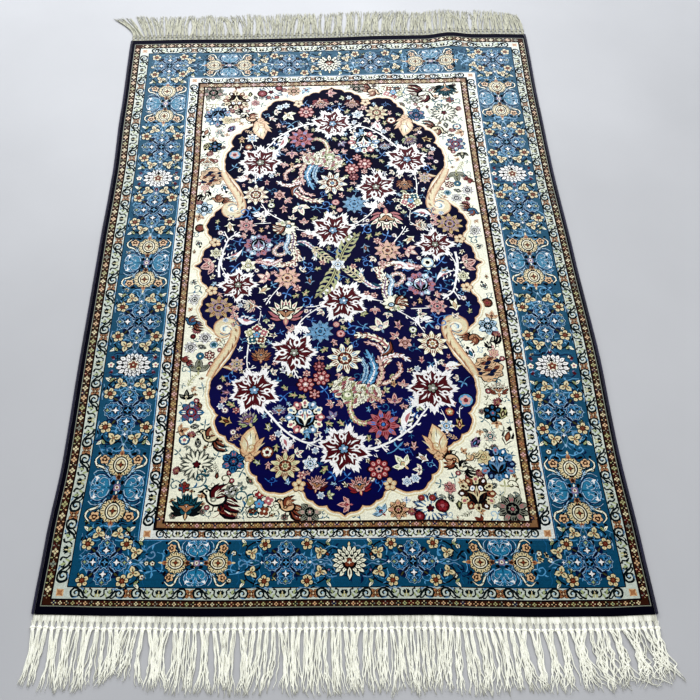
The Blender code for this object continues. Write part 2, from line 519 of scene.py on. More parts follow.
# ---------------------------------------------------------------- the main border
def make_roundel():
    """A thin light wheel round dark petals; its white star lies towards the cluster."""
    roundel = Sketch()
    for radius, colour in ((17.4, "ice"), (16.3, "marine"), (14.4, "azure"), (13.2, "cobalt")):
        roundel.fill(colour, scallop(10, radius, radius - 2.2))
    for turn in (0, 90, 180, 270):
        roundel.fill("ink", leaf(*polar(0.6, turn + 45), turn + 45, 12.0, 6.8))
        roundel.fill("cobalt", leaf(*polar(3.6, turn + 45), turn + 45, 7.0, 1.8))
        roundel.fill("azure", leaf(*polar(7.0, turn), turn, 6.4, 1.5))
    for side in (-1, 1):
        roundel.fill("azure", leaf(side * 11.6, 2.4, 90 + side * 82, 9.0, 1.8, side * 0.2))
        roundel.fill("ice", leaf(side * 2.0, 2.0, 90 - side * 34, 8.0, 1.4, side * 0.2))
    roundel.fill("ink", burst(4, 8.4, 4.2, 90, 0, -5.0))
    roundel.fill("white", burst(4, 7.0, 2.9, 90, 0, -5.0))
    roundel.fill("ink", burst(4, 5.6, 2.8, 90, 0, 10.6))
    roundel.fill("sage", burst(4, 4.4, 1.8, 90, 0, 10.6))
    roundel.fill("ice", oval(0, 3.4, 1.4, sides=6))
    return roundel


def make_red_flower():
    """Five pale petals round a rust heart."""
    flower = Sketch()
    flower.fill("ink", scallop(5, 13.4, 9.0, 90))
    for index in range(5):
        turn = 90 + 72 * index
        flower.fill("straw", oval(*polar(8.2, turn), 4.0, 4.4, turn, 8))
        flower.fill("gold", leaf(*polar(5.6, turn), turn, 5.4, 2.4))
    flower.fill("brown", burst(6, 7.6, 5.0, 90))
    flower.fill("rust", oval(0, 0, 4.2, sides=8))
    flower.fill("burgundy", oval(0, 0, 2.4, sides=6))
    flower.fill("apricot", oval(0, 0.4, 1.2, sides=5))
    return flower


def make_straw_flower():
    """A three-lobed pale flower with a golden middle."""
    flower = Sketch()
    for colour, size in (("ink", 6.6), ("straw", 5.4)):
        for turn in (90, 210, 330):
            flower.fill(colour, oval(*polar(6.6, turn), size, size * 0.94, turn, 10))
            flower.fill(colour, leaf(*polar(8.0, turn), turn, size * 1.1, size))
    for turn in (90, 210, 330):
        flower.fill("moss", leaf(*polar(2.0, turn), turn, 7.6, 2.2))
        flower.fill("gold", leaf(*polar(3.6, turn - 32), turn, 4.4, 1.8))
    flower.fill("brown", oval(0, 0, 2.9, sides=7))
    flower.fill("apricot", oval(0, 0, 1.8, sides=6))
    return flower


def make_leaf_pair():
    """A cream and a sage leaf that part from one foot."""
    pair = Sketch()
    for colour, turn, length, width, bend in (("cream", 38, 14, 6.0, 0.10),
                                              ("sage", 122, 11, 4.8, -0.10)):
        pair.fill("ink", leaf(*polar(-1.0, turn), turn, length + 2.0, width + 2.0, bend))
        pair.fill(colour, leaf(0, 0, turn, length, width, bend))
        pair.fill("moss", leaf(*polar(3.0, turn), turn, length * 0.5, 1.2, bend))
    return pair


def make_tip():
    """A white star with two leaves that lead on from a cluster."""
    tip = Sketch()
    tip.fill("white", burst(4, 4.2, 1.8, 90, 0, -1))
    tip.fill("teal", leaf(0, 8, 90, 12, 4.6))
    tip.fill("ice", leaf(0, 16, 90, 8, 3.6))
    return tip


def make_cluster(arms, stretch=1.0):
    """Four roundels in a cross, four red flowers between, and flowers towards each arm."""
    cluster = Sketch()
    roundel, red = make_roundel(), make_red_flower()
    straw, pair, tip = make_straw_flower(), make_leaf_pair(), make_tip()
    for turn in (0, 90, 180, 270):
        x, y = polar(24, turn + 45)
        cluster.fill("marine", oval(x, y, 15, 11, turn + 45))
        for bend in (-0.16, 0.16):
            cluster.fill("steel", leaf(*polar(9, turn + 45), turn + 45, 24, 2.4, bend))
        cluster.fill("ink", leaf(*polar(12, turn + 45), turn + 45, 16, 3.0))
    for arm in arms:
        for side in (-1, 1):
            lines = Sketch()
            for colour, nodes, width in (
                    ("ink", ((44, 30), (43, 50), (33, 64), (17, 67), (7, 58), (9, 50)), 3.2),
                    ("steel", ((3, 44), (6, 56), (2, 68), (9, 78)), 2.0),
                    ("azure", ((14, 44), (25, 42), (34, 47), (33, 54), (27, 54)), 1.8),
                    ("steel", ((50, 22), (52, 34), (49, 45), (51, 56)), 1.6),
                    ("cobalt", ((12, 72), (22, 78), (34, 76), (44, 80)), 1.8)):
                path = smooth([(side * x, y * stretch) for x, y in nodes], 3)
                lines.fill(colour, ribbon(path, width, width * 0.6))
            for colour, x, y, turn, length, width in (
                    ("ink", 33, 64, 50, 10, 4), ("marine", 25, 46, 20, 12, 4),
                    ("ink", 52, 40, 110, 11, 3.4), ("ice", 50, 30, 80, 7, 2.0),
                    ("ink", 14, 74, 70, 9, 3.4), ("azure", 40, 46, 60, 8, 2.2)):
                lines.fill(colour, leaf(side * x, y * stretch, 90 + side * (turn - 90), length, width))
            cluster.put(lines, 0, 0, arm)
            cos, sin = math.cos(math.radians(arm)), math.sin(math.radians(arm))
            for motif, x, y, spin in ((straw, side * 19.5, 56.5 * stretch, -side * 14),
                                      (pair, side * 40, 60 * stretch ** 1.5, side * 6)):
                cluster.put(motif, x * cos - y * sin, x * sin + y * cos, arm + spin, flip=side < 0)
        cluster.put(tip, *polar(50, arm + 90), arm)
    for turn in (0, 90, 180, 270):
        cluster.put(roundel, *polar(27.5, turn + 90), turn)
    cluster.fill("ink", oval(0, 0, 8.4, sides=8))
    cluster.fill("azure", burst(4, 7.2, 2.4, 90))
    cluster.fill("ink", oval(0, 0, 1.5, sides=5))
    for x in (-1, 1):
        for y in (-1, 1):
            turn = math.degrees(math.atan2(y, x))
            cluster.fill("ink", leaf(x * 19, y * 19, turn + 8, 13, 7.0))
            cluster.fill("moss", leaf(x * 20, y * 20, turn + 8, 11, 4.0))
            cluster.put(red, x * 37.5, y * 35 * stretch, 12 * x * y)
    return cluster


def make_aster():
    """A white flower with two rings of pointed petals round a rust heart."""
    aster = Sketch()
    for side in (-1, 1):
        for end in (-1, 1):
            stem = smooth([(side * 20, end * 24), (side * 34, end * 26), (side * 44, end * 18)], 3)
            aster.fill("marine", ribbon(stem, 3, 2))
            aster.fill("burgundy", oval(side * 41, end * 17, 4.6, 3.4, side * end * 40, 7))
            aster.fill("mauve", leaf(side * 37, end * 14, -side * end * 30 + (180 if side < 0 else 0),
                                     6, 3))
    for end in (-1, 1):
        aster.fill("burgundy", oval(0, end * 34, 4.0, 5.6, sides=7))
        aster.fill("mauve", leaf(0, end * 33, 90 * end, 10, 3.4))
    aster.fill("ink", oval(0, 0, 32, 24.5))
    for start, reach, count, width in ((16.5, 13.6, 16, 10.4), (8.0, 12.6, 12, 9.4)):
        for index in range(count):
            turn = 90 + 360 * (index + 0.5) / count
            stretch = 0.84 + 0.42 * math.cos(math.radians(turn)) ** 2
            x, y = polar(start * stretch, turn)
            aster.fill("ink", leaf(*polar(start * stretch - 2, turn), turn, reach + 3.2, width + 1.8))
            aster.fill("white", leaf(x, y, turn, reach, width - 1.6))
            aster.fill("grey", leaf(*polar(3, turn, x, y), turn, reach * 0.5, 1.4))
    aster.fill("brown", scallop(6, 12.4, 9.8, 90))
    aster.fill("cream", scallop(6, 11.2, 8.8, 90))
    aster.fill("rust", scallop(5, 8.8, 6.0, 90))
    aster.fill("burgundy", oval(0, -1.0, 4.4, 3.4, sides=8))
    aster.fill("straw", oval(0, 0.2, 2.4, sides=6))
    aster.fill("ink", burst(4, 6.4, 2.4, 90, 0, 14.0))
    for side in (-1, 1):
        aster.fill("ink", scallop(5, 7.4, 5.2, 90, side * 43, 0))
        aster.fill("cream", scallop(5, 6.4, 4.2, 90, side * 43, 0))
        aster.fill("rose", oval(side * 43, 0, 2.6, sides=7))
    return aster


def make_shield():
    """A round palmette: rows of pale pointed leaves round a heart, with a bud at its foot."""
    shield = Sketch()
    for side in (-1, 1):
        for colour, nodes in (
                ("ink", ((20, 24), (34, 28), (46, 18))), ("ink", ((20, -20), (34, -26), (44, -14))),
                ("azure", ((24, 30), (38, 33), (50, 26))),
                ("steel", ((26, -28), (40, -30), (52, -22)))):
            shield.fill(colour, ribbon(smooth([(side * x, y) for x, y in nodes], 3), 2.6, 1.4))
        shield.fill("ink", oval(side * 44, 16, 5.0, 3.8, side * 30, 8))
        shield.fill("rust", oval(side * 44, 16, 3.0, 2.2, side * 30, 7))
        shield.fill("ink", oval(side * 42, -16, 4.6, 3.6, -side * 30, 8))
        shield.fill("mauve", oval(side * 42, -16, 2.6, 2.0, -side * 30, 7))
    for start, reach, count, width in ((20, 15, 15, 10.0), (11, 15, 12, 9.4)):
        for index in range(count):
            turn = 90 - 146 + 292 * index / (count - 1)
            shield.fill("ink", leaf(*polar(start - 2, turn), turn, reach + 3.4, width + 1.8))
            shield.fill("cream", leaf(*polar(start, turn), turn, reach, width - 2.4))
            shield.fill("grey", leaf(*polar(start + 3, turn), turn, reach * 0.5, 1.6))
    shield.fill("ink", oval(0, 0, 15, 16))
    for turn in (48, 90, 132, 10, 170):
        shield.fill("cream", leaf(*polar(4, turn), turn, 11.5, 6.4))
        shield.fill("brown", leaf(*polar(7, turn), turn, 5, 1.4))
    shield.fill("ink", scallop(3, 10.8, 6.4, 90, 0, -2))
    shield.fill("rust", scallop(3, 9.4, 5.2, 90, 0, -2))
    shield.fill("cream", burst(4, 5.0, 1.8, 90, 0, -1))
    shield.fill("ink", leaf(0, -10, 270, 29, 14))
    shield.fill("cream", leaf(0, -11, 270, 25, 9.6))
    shield.fill("brown", leaf(0, -14, 270, 15, 3.4))
    shield.fill("ink", leaf(0, 31, 90, 13, 8))
    shield.fill("straw", leaf(0, 32, 90, 10, 4.4))
    return shield


def make_facing_palmettes():
    """Two ringed palmettes that face each other over a rust bud, among light arabesques."""
    pair = Sketch()
    for side in (-1, 1):
        for end in (-1, 1):
            spin = side * end
            ground = [(side * 11, end * 2), (side * 14, end * 16), (side * 24, end * 26),
                      (side * 38, end * 25), (side * 47, end * 14), (side * 47, end * 1)]
            rim, notch = smooth(ground, 2), (side * 29, 0)
            pair.fill("marine", rim + [notch])
            pair.fill("lagoon", [(x * 0.93 + side * 2, y * 0.90) for x, y in rim] + [notch])
            curls = (
                ((13, 4), (17, 15), (27, 19), (33, 12), (27, 7), (23, 11)),
                ((46, 3), (45, 13), (39, 21), (31, 24), (24, 22)),
                ((29, 1), (36, 3), (40, 9), (36, 14), (31, 12)),
                ((15, 20), (24, 30), (37, 32), (46, 26)),
                ((46, 8), (42, 6), (40, 2)),
            )
            for nodes in curls:
                path = smooth([(side * x, end * y) for x, y in nodes], 3)
                pair.fill("marine", ribbon(path, 4.2, 2.6))
                pair.fill("ice", ribbon(path, 2.0, 1.2))
                pair.fill("azure", leaf(*path[4], spin * 40 + 20, 7, 2.6))
            pair.fill("white", leaf(side * 33, end * 17, 90 - side * 90 + spin * 18, 11, 4.0))
            pair.fill("white", leaf(side * 38, end * 21, -end * 90, 10, 3.2))
            pair.fill("ice", oval(side * 24, end * 5, 2.0, sides=6))
            pair.fill("ink", oval(side * 8, end * 9, 3.4, 4.4, sides=8))
            pair.fill("ink", oval(side * 36, end * 8, 2.2, sides=6))
            pair.fill("ink", oval(side * 22, end * 64, 5.4, 3.0, spin * 20, 9))
            pair.fill("ink", oval(side * 41, end * 65, 3.0, 2.6, sides=8))
            stem = smooth([(side * 2, end * 71), (side * 12, end * 69), (side * 20, end * 73)], 3)
            pair.fill("azure", ribbon(stem, 2.6, 1.6))
            sickle = [(side * 10, end * 23), (side * 19, end * 31), (side * 31, end * 38),
                      (side * 43, end * 43), (side * 46, end * 53), (side * 38, end * 62)]
            path = smooth(sickle, 3)
            pair.fill("ink", ribbon(path, 4.4, 3.0, 2.8))
            pair.fill("cream", ribbon(path, 2.0, 1.2, 1.7))
            for index in range(2, len(path) - 2, 3):
                pair.fill("ink", leaf(*path[index], 90 * end - spin * 50, 4.4, 1.4))
            for colour, x, y, length, width in (
                    ("ink", 19, 40, 21, 9.0), ("cream", 20, 41, 18, 5.6), ("ice", 22, 44, 10, 1.6)):
                pair.fill(colour, leaf(side * x, end * y, 90 * end - spin * 40, length, width,
                                       -0.1 * spin))
            for lean, long in ((18, 13), (42, 15), (66, 13)):
                pair.fill("ink", leaf(side * 17, end * 27, 90 * end - spin * lean, long + 2, 5.0))
                pair.fill("ice", leaf(side * 18, end * 28, 90 * end - spin * lean, long - 1, 2.8))
            pair.fill("ink", scallop(5, 10.2, 8.0, 90 * end, side * 30, end * 53))
            pair.fill("peach", scallop(5, 8.8, 6.2, 90 * end, side * 30, end * 53))
            pair.fill("brown", scallop(3, 5.4, 3.6, 90 * end, side * 30, end * 54))
            pair.fill("peach", oval(side * 30, end * 54, 2.6, 1.8, spin * 25, 7))
    for end in (-1, 1):
        middle = end * 43
        pair.fill("ink", scallop(12, 23.6, 20.6, 90, 0, middle))
        pair.fill("straw", scallop(12, 21.8, 17.6, 90, 0, middle))
        for index in range(12):
            turn = 30 * index
            pair.fill("ink", leaf(*polar(14.6, turn, 0, middle), turn, 8.0, 1.9))
            pair.fill("gold", leaf(*polar(16.0, turn + 15, 0, middle), turn + 15, 5.4, 2.6))
        for width, height, colour in ((14.0, 16.4, "ink"), (11.8, 14.2, "cream"),
                                      (9.6, 12.0, "brown"), (7.8, 10.2, "straw")):
            pair.fill(colour, oval(0, middle, width, height))
        pair.fill("brown", burst(4, 8.6, 3.4, 90, 0, middle))
        pair.fill("rust", oval(0, middle, 2.6, 3.4, sides=7))
        pair.fill("ink", burst(3, 7.5, 3.0, -90 * end, 0, middle - end * 17))
        pair.fill("apricot", leaf(0, middle + end * 17, 90 * end, 13, 8.5))
        pair.fill("rust", leaf(0, middle + end * 18, 90 * end, 7, 3.4))
        pair.fill("straw", leaf(0, middle + end * 27, 90 * end, 9, 4.4))
        pair.fill("apricot", burst(5, 7.2, 3.8, 90 * end, 0, end * 19.5))
        pair.fill("brown", oval(0, end * 19, 3.4, 4.2, sides=8))
    pair.fill("mauve", scallop(4, 7.2, 5.0, 45))
    pair.fill("cream", oval(0, 0, 3.8, sides=8))
    pair.fill("rust", oval(0, 0, 2.2, sides=6))
    for end in (-1, 1):
        pair.fill("cream", leaf(0, end * 6, 90 * end, 7, 3.4))
    return pair


# Along each side of the main border: the motif's name and its place.
LEFT_RUN = (("aster", -252), ("cluster", -350), ("pair", -502), ("cluster", -152), ("pair", -4),
            ("cluster", 142), ("aster", 236), ("cluster", 334), ("pair", 480))
RIGHT_RUN = (("aster", -261), ("cluster", -359), ("pair", -510), ("cluster", -159), ("pair", -9),
             ("cluster", 139), ("aster", 235), ("cluster", 333), ("pair", 479))
NEAR_RUN = (("pair", -239), ("endcluster", -91), ("shield", 14), ("endcluster", 119), ("pair", 264))
FAR_RUN = (("pair", -244), ("endcluster", -95), ("shield", 4), ("endcluster", 106), ("pair", 254))


def draw_main_border(sketch):
    """The large flowers of the blue border, side by side and end by end, then its corners."""
    motifs = {"cluster": make_cluster((0, 180)), "aster": make_aster(), "shield": make_shield(),
              "pair": make_facing_palmettes(), "endcluster": make_cluster((0, 180), 1.22)}
    left_x, near_y, right_x, far_y = middle_lines("main border", "inner scrolls")
    for run, x, size in ((LEFT_RUN, left_x, 1.0), (RIGHT_RUN, right_x, 0.95)):
        for name, y in run:
            sketch.put(motifs[name], x, y, 0, size)
    for run, y, size, up in ((NEAR_RUN, near_y, 0.82, 180), (FAR_RUN, far_y, 0.88, 0)):
        for name, x in run:
            sketch.put(motifs[name], x, y, up + 180 if name == "shield" else 90, size)
    for x, y, arms, size in ((left_x, near_y, (0, 270), 0.88), (right_x, near_y, (0, 90), 0.86),
                             (left_x, far_y, (180, 270), 0.92), (right_x, far_y, (180, 90), 0.88)):
        sketch.put(make_cluster(arms), x, y, 0, size)


def draw_frame(sketch, colour, outer, inner):
    """A frame of even colour between two rectangles, as four bars with mitred corners."""
    outside, inside = rectangle(*outer), rectangle(*inner)
    for index in range(4):
        after = (index + 1) % 4
        sketch.fill(colour, [outside[index], outside[after], inside[after], inside[index]])


# The plain lines and grounds of the borders from outside in: band, distance inside it, dye.
GROUNDS = (
    ("rug", 0.0, "strip"), ("outer florets", 0.0, "grey"), ("outer florets", 1.4, "ink"),
    ("outer florets", 2.6, "brown"),
    ("outer scrolls", -1.6, "ink"), ("outer scrolls", 0.8, "guard"),
    ("main border", -2.0, "ink"), ("main border", 0.0, "blue"),
    ("inner scrolls", -3.2, "azure"), ("inner scrolls", -1.8, "marine"),
    ("inner scrolls", -0.6, "pearl"),
    ("inner florets", -2.0, "ink"), ("inner florets", 1.6, "brown"), ("inner florets", 3.0, "tan"),
    ("field", -3.2, "ink"), ("field", -0.8, "brown"), ("field", 0.9, "cream"),
)


def draw_grounds(sketch):
    """The plain grounds of the borders, each from its own edge to the next one."""
    for (band, distance, colour), (next_band, next_distance, _) in zip(GROUNDS, GROUNDS[1:]):
        draw_frame(sketch, colour, inset(band, distance), inset(next_band, next_distance))


def draw_bands(sketch):
    """The grounds of the borders and the four narrow guards."""
    draw_grounds(sketch)
    draw_floret_guard(sketch, "outer florets", "outer scrolls", ("straw", "olive", "peach", "grey"), 3)
    draw_floret_guard(sketch, "inner florets", "field", ("straw", "gold", "pink", "apricot"), 5)
    draw_scroll_guard(sketch, "outer scrolls", "main border")
    draw_scroll_guard(sketch, "inner scrolls", "inner florets")


# ---------------------------------------------------------------- flowers, 10 mm in radius
def make_rosette(petals):
    """Pointed petals with thin strokes and dark gaps round a ringed heart."""
    flower = Sketch()
    step = 360 / petals
    half = 6.9 * math.sin(math.radians(step / 2))
    flower.fill("ink", scallop(petals, 10.4, 8.0))
    for index in range(petals):
        turn = 90 + step * index
        flower.fill("petal", oval(*polar(6.6, turn), 3.1, half * 0.90, turn, 8))
        flower.fill("petal", leaf(*polar(6.8, turn), turn, 4.4, half * 1.2))
        for side in (-1, 1):
            flower.fill(("heart", "ring")[index % 2],
                        leaf(*polar(4.8, turn + side * step * 0.19), turn + side * 5, 3.9, half * 0.44))
        flower.fill("ring", leaf(*polar(4.0, turn + step / 2), turn + step / 2, 4.8, 1.1))
    flower.fill("ink", oval(0, 0, 4.7, sides=10))
    flower.fill("ring", scallop(6, 4.2, 3.2, 90 + step / 2))
    flower.fill("petal", burst(7, 3.3, 2.0))
    flower.fill("ink", oval(0, 0, 1.8, sides=7))
    flower.fill("heart", oval(0, 0, 1.3, sides=6))
    return flower


def make_wreath(blossoms):
    """Round blossoms in a ring round a dark bowl that holds an upright spray."""
    flower = Sketch()
    flower.fill("ink", scallop(blossoms, 10.6, 9.0))
    for index in range(blossoms):
        turn = 90 + 360 * index / blossoms
        x, y = polar(7.9, turn)
        flower.fill(("petal", "ring", "petal", "heart")[index % 4], scallop(4, 2.6, 1.9, turn, x, y))
        flower.fill(("rose", "petal", "heart", "white")[index % 4],
                    oval(*polar(8.5, turn), 1.2, 0.9, turn, 6))
        flower.fill("ink", oval(*polar(6.8, turn), 0.6, sides=5))
    flower.fill("ink", oval(0, -0.3, 5.6, 6.0))
    flower.fill("heart", oval(0, 0.2, 4.8, 4.9))
    flower.fill("ink", oval(0, -0.8, 3.6, 3.9))
    for side in (-1, 1):
        flower.fill("petal", leaf(0, -5.4, 90 - side * 42, 8.4, 1.8, side * 0.30))
        flower.fill("ring", leaf(0, -4.6, 90 - side * 22, 8.4, 1.3, side * 0.14))
        flower.fill("white", oval(side * 2.3, 3.0, 1.3, 1.7, side * 24, 8))
        flower.fill("steel", oval(side * 2.3, 3.0, 0.6, 0.8, side * 24, 5))
    flower.fill("petal", leaf(0, -4.8, 90, 9.6, 1.9))
    flower.fill("heart", leaf(0, -2.0, 90, 4.2, 0.9))
    return flower


def make_loops(petals):
    """A rosette of looped petals, each with a light eye."""
    flower = Sketch()
    flower.fill("ink", scallop(petals, 10.8, 8.4))
    for index in range(petals):
        turn = 90 + 360 * index / petals
        flower.fill("ring", oval(*polar(6.6, turn), 3.3, 2.7, turn, 9))
        flower.fill("petal", oval(*polar(6.9, turn), 2.1, 1.6, turn, 7))
        flower.fill("ring", oval(*polar(7.2, turn), 0.9, 0.6, turn, 5))
    flower.fill("ink", oval(0, 0, 3.9, sides=9))
    flower.fill("petal", scallop(5, 3.4, 2.4))
    flower.fill("heart", oval(0, 0, 1.6, sides=6))
    return flower


def make_star(rays, eyes, eye_size=1.0):
    """A white toothed star round a wine-red one, with white flames, looped eyes and a blue heart."""
    star = Sketch()
    rng = random.Random(rays * 10 + eyes)
    step = 360 / rays
    star.fill("petal", serrated([(12.4 * rng.uniform(0.84, 1.06), rng.uniform(5.4, 6.5))
                                 for _ in range(rays)]))
    for index in range(rays):
        turn = 90 + step * (index + rng.uniform(-0.14, 0.14))
        between = turn + step / 2
        star.fill("petal", leaf(*polar(6.0, between), between, 2.9, 2.4))
        star.fill("ring", leaf(*polar(0.6, turn), turn, 8.8 * rng.uniform(0.84, 1.08), 4.2))
        for side in (-1, 1):
            star.fill("ring", leaf(*polar(3.0, turn), turn + side * 30, 4.3, 1.4, side * 0.2))
            star.fill("ring", leaf(*polar(4.9, turn), turn + side * 36, 2.8, 1.0, side * 0.2))
    star.fill("ring", scallop(rays, 5.2, 4.2, 90 + step / 2))
    for index in range(rays):
        turn = 90 + step * index
        star.fill("petal", leaf(*polar(3.2, turn), turn, 4.2, 0.8, 0.14))
        star.fill("petal", leaf(*polar(2.4, turn + step / 2), turn + step / 2, 2.6, 0.6, -0.1))
    for index in range(eyes):
        between = 90 + step * (int(rays * (index + 0.5) / eyes) + 0.5)
        x, y = polar(5.4, between)
        star.fill("petal", oval(x, y, 1.55 * eye_size, 1.15 * eye_size, between, 9))
        star.fill("ring", oval(x, y, 0.75 * eye_size, 0.5 * eye_size, between, 6))
    star.fill("ink", scallop(5, 2.3, 1.6, 70))
    star.fill("heart", scallop(5, 1.9, 1.1, 70))
    star.fill("white", oval(0.3, 0, 0.6, sides=5))
    return star


def make_thistle(rays):
    """A spiky dark-edged star with a pale middle and a small red heart."""
    thistle = Sketch()
    rims = [(10.8 if index % 2 else 9.4, 6.8) for index in range(rays)]
    thistle.fill("ring", serrated(rims))
    thistle.fill("petal", serrated([(length - 1.3, valley - 0.9) for length, valley in rims]))
    for index in range(rays):
        turn = 90 + 360 * (index + 0.5) / rays
        thistle.fill("ring", leaf(*polar(4.2, turn), turn, 5.0, 0.6))
        thistle.fill("cream", leaf(*polar(3.0, turn + 180 / rays), turn + 180 / rays, 5.4, 1.3))
    thistle.fill("cream", serrated([(4.8, 2.6)] * 5, 40))
    thistle.fill("ring", scallop(5, 2.4, 1.6))
    thistle.fill("heart", scallop(4, 1.7, 1.1))
    return thistle


def make_palmette():
    """A fan of petals over a leafy cup, seen from the side."""
    flower = Sketch()
    for turn, length in ((-14, 9.4), (194, 9.4), (14, 10.6), (166, 10.6)):
        bend = 0.16 if turn > 90 else -0.16
        flower.fill("ink", leaf(0, -2.0, turn, length + 0.6, 4.4, bend))
        flower.fill("ring", leaf(0, -2.0, turn, length, 3.4, bend))
        flower.fill("petal", leaf(*polar(3.0, turn, 0, -2.0), turn, length * 0.5, 0.9, bend))
    for turn in (34, 146, 56, 124, 78, 102, 90):
        flower.fill("ink", leaf(0, -3.4, turn, 12.8, 4.4))
        flower.fill("petal", leaf(0, -3.2, turn, 12.0, 3.3))
        flower.fill("ring", leaf(*polar(7.0, turn, 0, -3.2), turn, 3.6, 1.1))
    flower.fill("ink", scallop(5, 5.4, 4.0, 90, 0, -1.0))
    flower.fill("petal", scallop(5, 4.7, 3.4, 90, 0, -1.0))
    flower.fill("ink", oval(0, -1.0, 3.0, 3.1, sides=9))
    flower.fill("heart", oval(0, -1.0, 2.3, 2.5, sides=8))
    flower.fill("white", leaf(0, -2.6, 90, 3.6, 1.0))
    for side in (-1, 1):
        flower.fill("ink", leaf(0, -4.2, 90 - side * 52, 7.2, 3.0, side * 0.24))
        flower.fill("apricot", leaf(0, -4.2, 90 - side * 52, 6.6, 2.1, side * 0.24))
    flower.fill("ring", leaf(0, -4.0, 270, 5.8, 3.2))
    flower.fill("peach", leaf(0, -4.2, 270, 4.6, 1.6))
    return flower


def make_lily():
    """A three-pointed flower from the side, with a curled cup."""
    flower = Sketch()
    for turn, length, width in ((38, 12.5, 5.6), (142, 12.5, 5.6), (90, 15.0, 6.6)):
        flower.fill("ink", leaf(0, -6.4, turn, length + 0.9, width + 1.0))
        flower.fill("petal", leaf(0, -6.0, turn, length, width))
        flower.fill("ring", leaf(*polar(4.0, turn, 0, -6.0), turn, length * 0.56, width * 0.44))
        flower.fill("petal", leaf(*polar(6.0, turn, 0, -6.0), turn, length * 0.26, width * 0.14))
    flower.fill("ink", oval(0, -3.4, 2.9, 3.6, sides=8))
    flower.fill("heart", oval(0, -3.4, 2.3, 2.9, sides=8))
    flower.fill("ring", oval(0, -3.2, 1.2, 1.6, sides=6))
    for side in (-1, 1):
        flower.fill("petal", leaf(0, -6.4, 90 - side * 78, 8.6, 2.2, side * 0.26))
    flower.fill("heart", leaf(0, -5.6, 270, 4.4, 2.4))
    return flower


def make_bud():
    """A closed bud with two petals that stand off at its foot."""
    bud = Sketch()
    bud.fill("ink", leaf(0, -8.0, 90, 19.2, 10.8))
    for side in (-1, 1):
        bud.fill("petal", leaf(0, -7.2, 90 - side * 14, 16.4, 5.2, side * 0.10))
        bud.fill("petal", leaf(0, -7.4, 90 - side * 50, 9.4, 2.8, side * 0.28))
    bud.fill("ink", leaf(0, -5.0, 90, 11.0, 5.2))
    bud.fill("ring", leaf(0, -4.6, 90, 9.8, 3.8))
    bud.fill("heart", leaf(0, -2.6, 90, 5.2, 1.7))
    return bud


def make_disc():
    """A small round flower with a collar."""
    flower = Sketch()
    flower.fill("ink", oval(0, 0, 10.6, sides=12))
    flower.fill("ring", oval(0, 0, 9.4, sides=11))
    flower.fill("petal", scallop(5, 7.4, 5.0))
    flower.fill("ink", oval(0, 0, 3.4, sides=7))
    flower.fill("heart", scallop(3, 3.0, 2.0, 270))
    return flower


def make_sprig():
    """A thin stem that ends in three small leaves."""
    sprig = Sketch()
    sprig.fill("petal", ribbon(smooth([(-15, -9), (-8, -7), (-3, -3), (0, 0)], 3), 0.9, 1.3))
    for turn, length, bend in ((-22, 9.0, -0.2), (48, 10.4, 0.0), (116, 9.0, 0.2)):
        sprig.fill("petal", leaf(-0.6, -0.6, turn, length, 2.6, bend))
    sprig.fill("ring", leaf(0.6, 0.6, 48, 6.0, 1.0))
    return sprig


def make_curl():
    """A tendril that rolls up, with leaves outside."""
    curl = Sketch()
    curl.fill("petal", ribbon(smooth([(-13, -9), (-4, -8), (4, -6), (8, 1), (4, 7), (-2, 5), (-1, 0),
                                      (2, 1)], 3), 1.0, 1.8))
    curl.fill("petal", leaf(5, -5, -42, 8.0, 2.6, 0.2))
    curl.fill("petal", leaf(7, 4, 52, 6.0, 2.0, -0.2))
    curl.fill("ring", leaf(-5, -8, 60, 7.0, 2.2, -0.2))
    return curl


def make_frond(barbs):
    """A curved leaf of separate barbs along a thin rib, from (-10, 0) to (10, 0)."""
    frond = Sketch()
    rib = smooth([(-10, 0), (-4, 1.1), (3, 1.0), (10, -1.0)], 4)
    for index in range(barbs):
        share = (index + 0.7) / barbs
        x = -10 + 18.5 * share
        y = 1.2 * math.sin(math.pi * share)
        reach = 4.6 * math.sin(math.pi * (0.20 + 0.72 * share)) + 0.4
        for side in (-1, 1):
            frond.fill(("petal", "heart")[index % 3 == 2],
                       leaf(x - 0.6, y, side * (34 + 10 * (index % 2)), reach, 1.3, side * 0.24))
    frond.fill("petal", ribbon(rib, 1.1, 0.4, 0.5))
    frond.fill("ring", ribbon(rib, 0.5, 0.2))
    return frond


def make_bouquet():
    """Five small flowers of several colours in a bunch."""
    bunch = Sketch()
    colours = ("red", "olive", "teal", "rust", "rose")
    for index, colour in enumerate(colours):
        x, y = polar(6.2, 90 + 72 * index)
        bunch.fill("ink", scallop(5, 5.0, 3.9, 90 + 72 * index, x, y))
        bunch.fill("petal", scallop(5, 4.4, 3.0, 90 + 72 * index, x, y))
        bunch.fill(colour, scallop(4, 3.2, 2.0, 72 * index, x, y))
        bunch.fill("petal", oval(x, y, 0.9, sides=5))
    bunch.fill("ink", scallop(5, 3.6, 2.6))
    bunch.fill("heart", scallop(5, 3.0, 1.9))
    bunch.fill("ring", oval(0, 0, 1.0, sides=5))
    return bunch


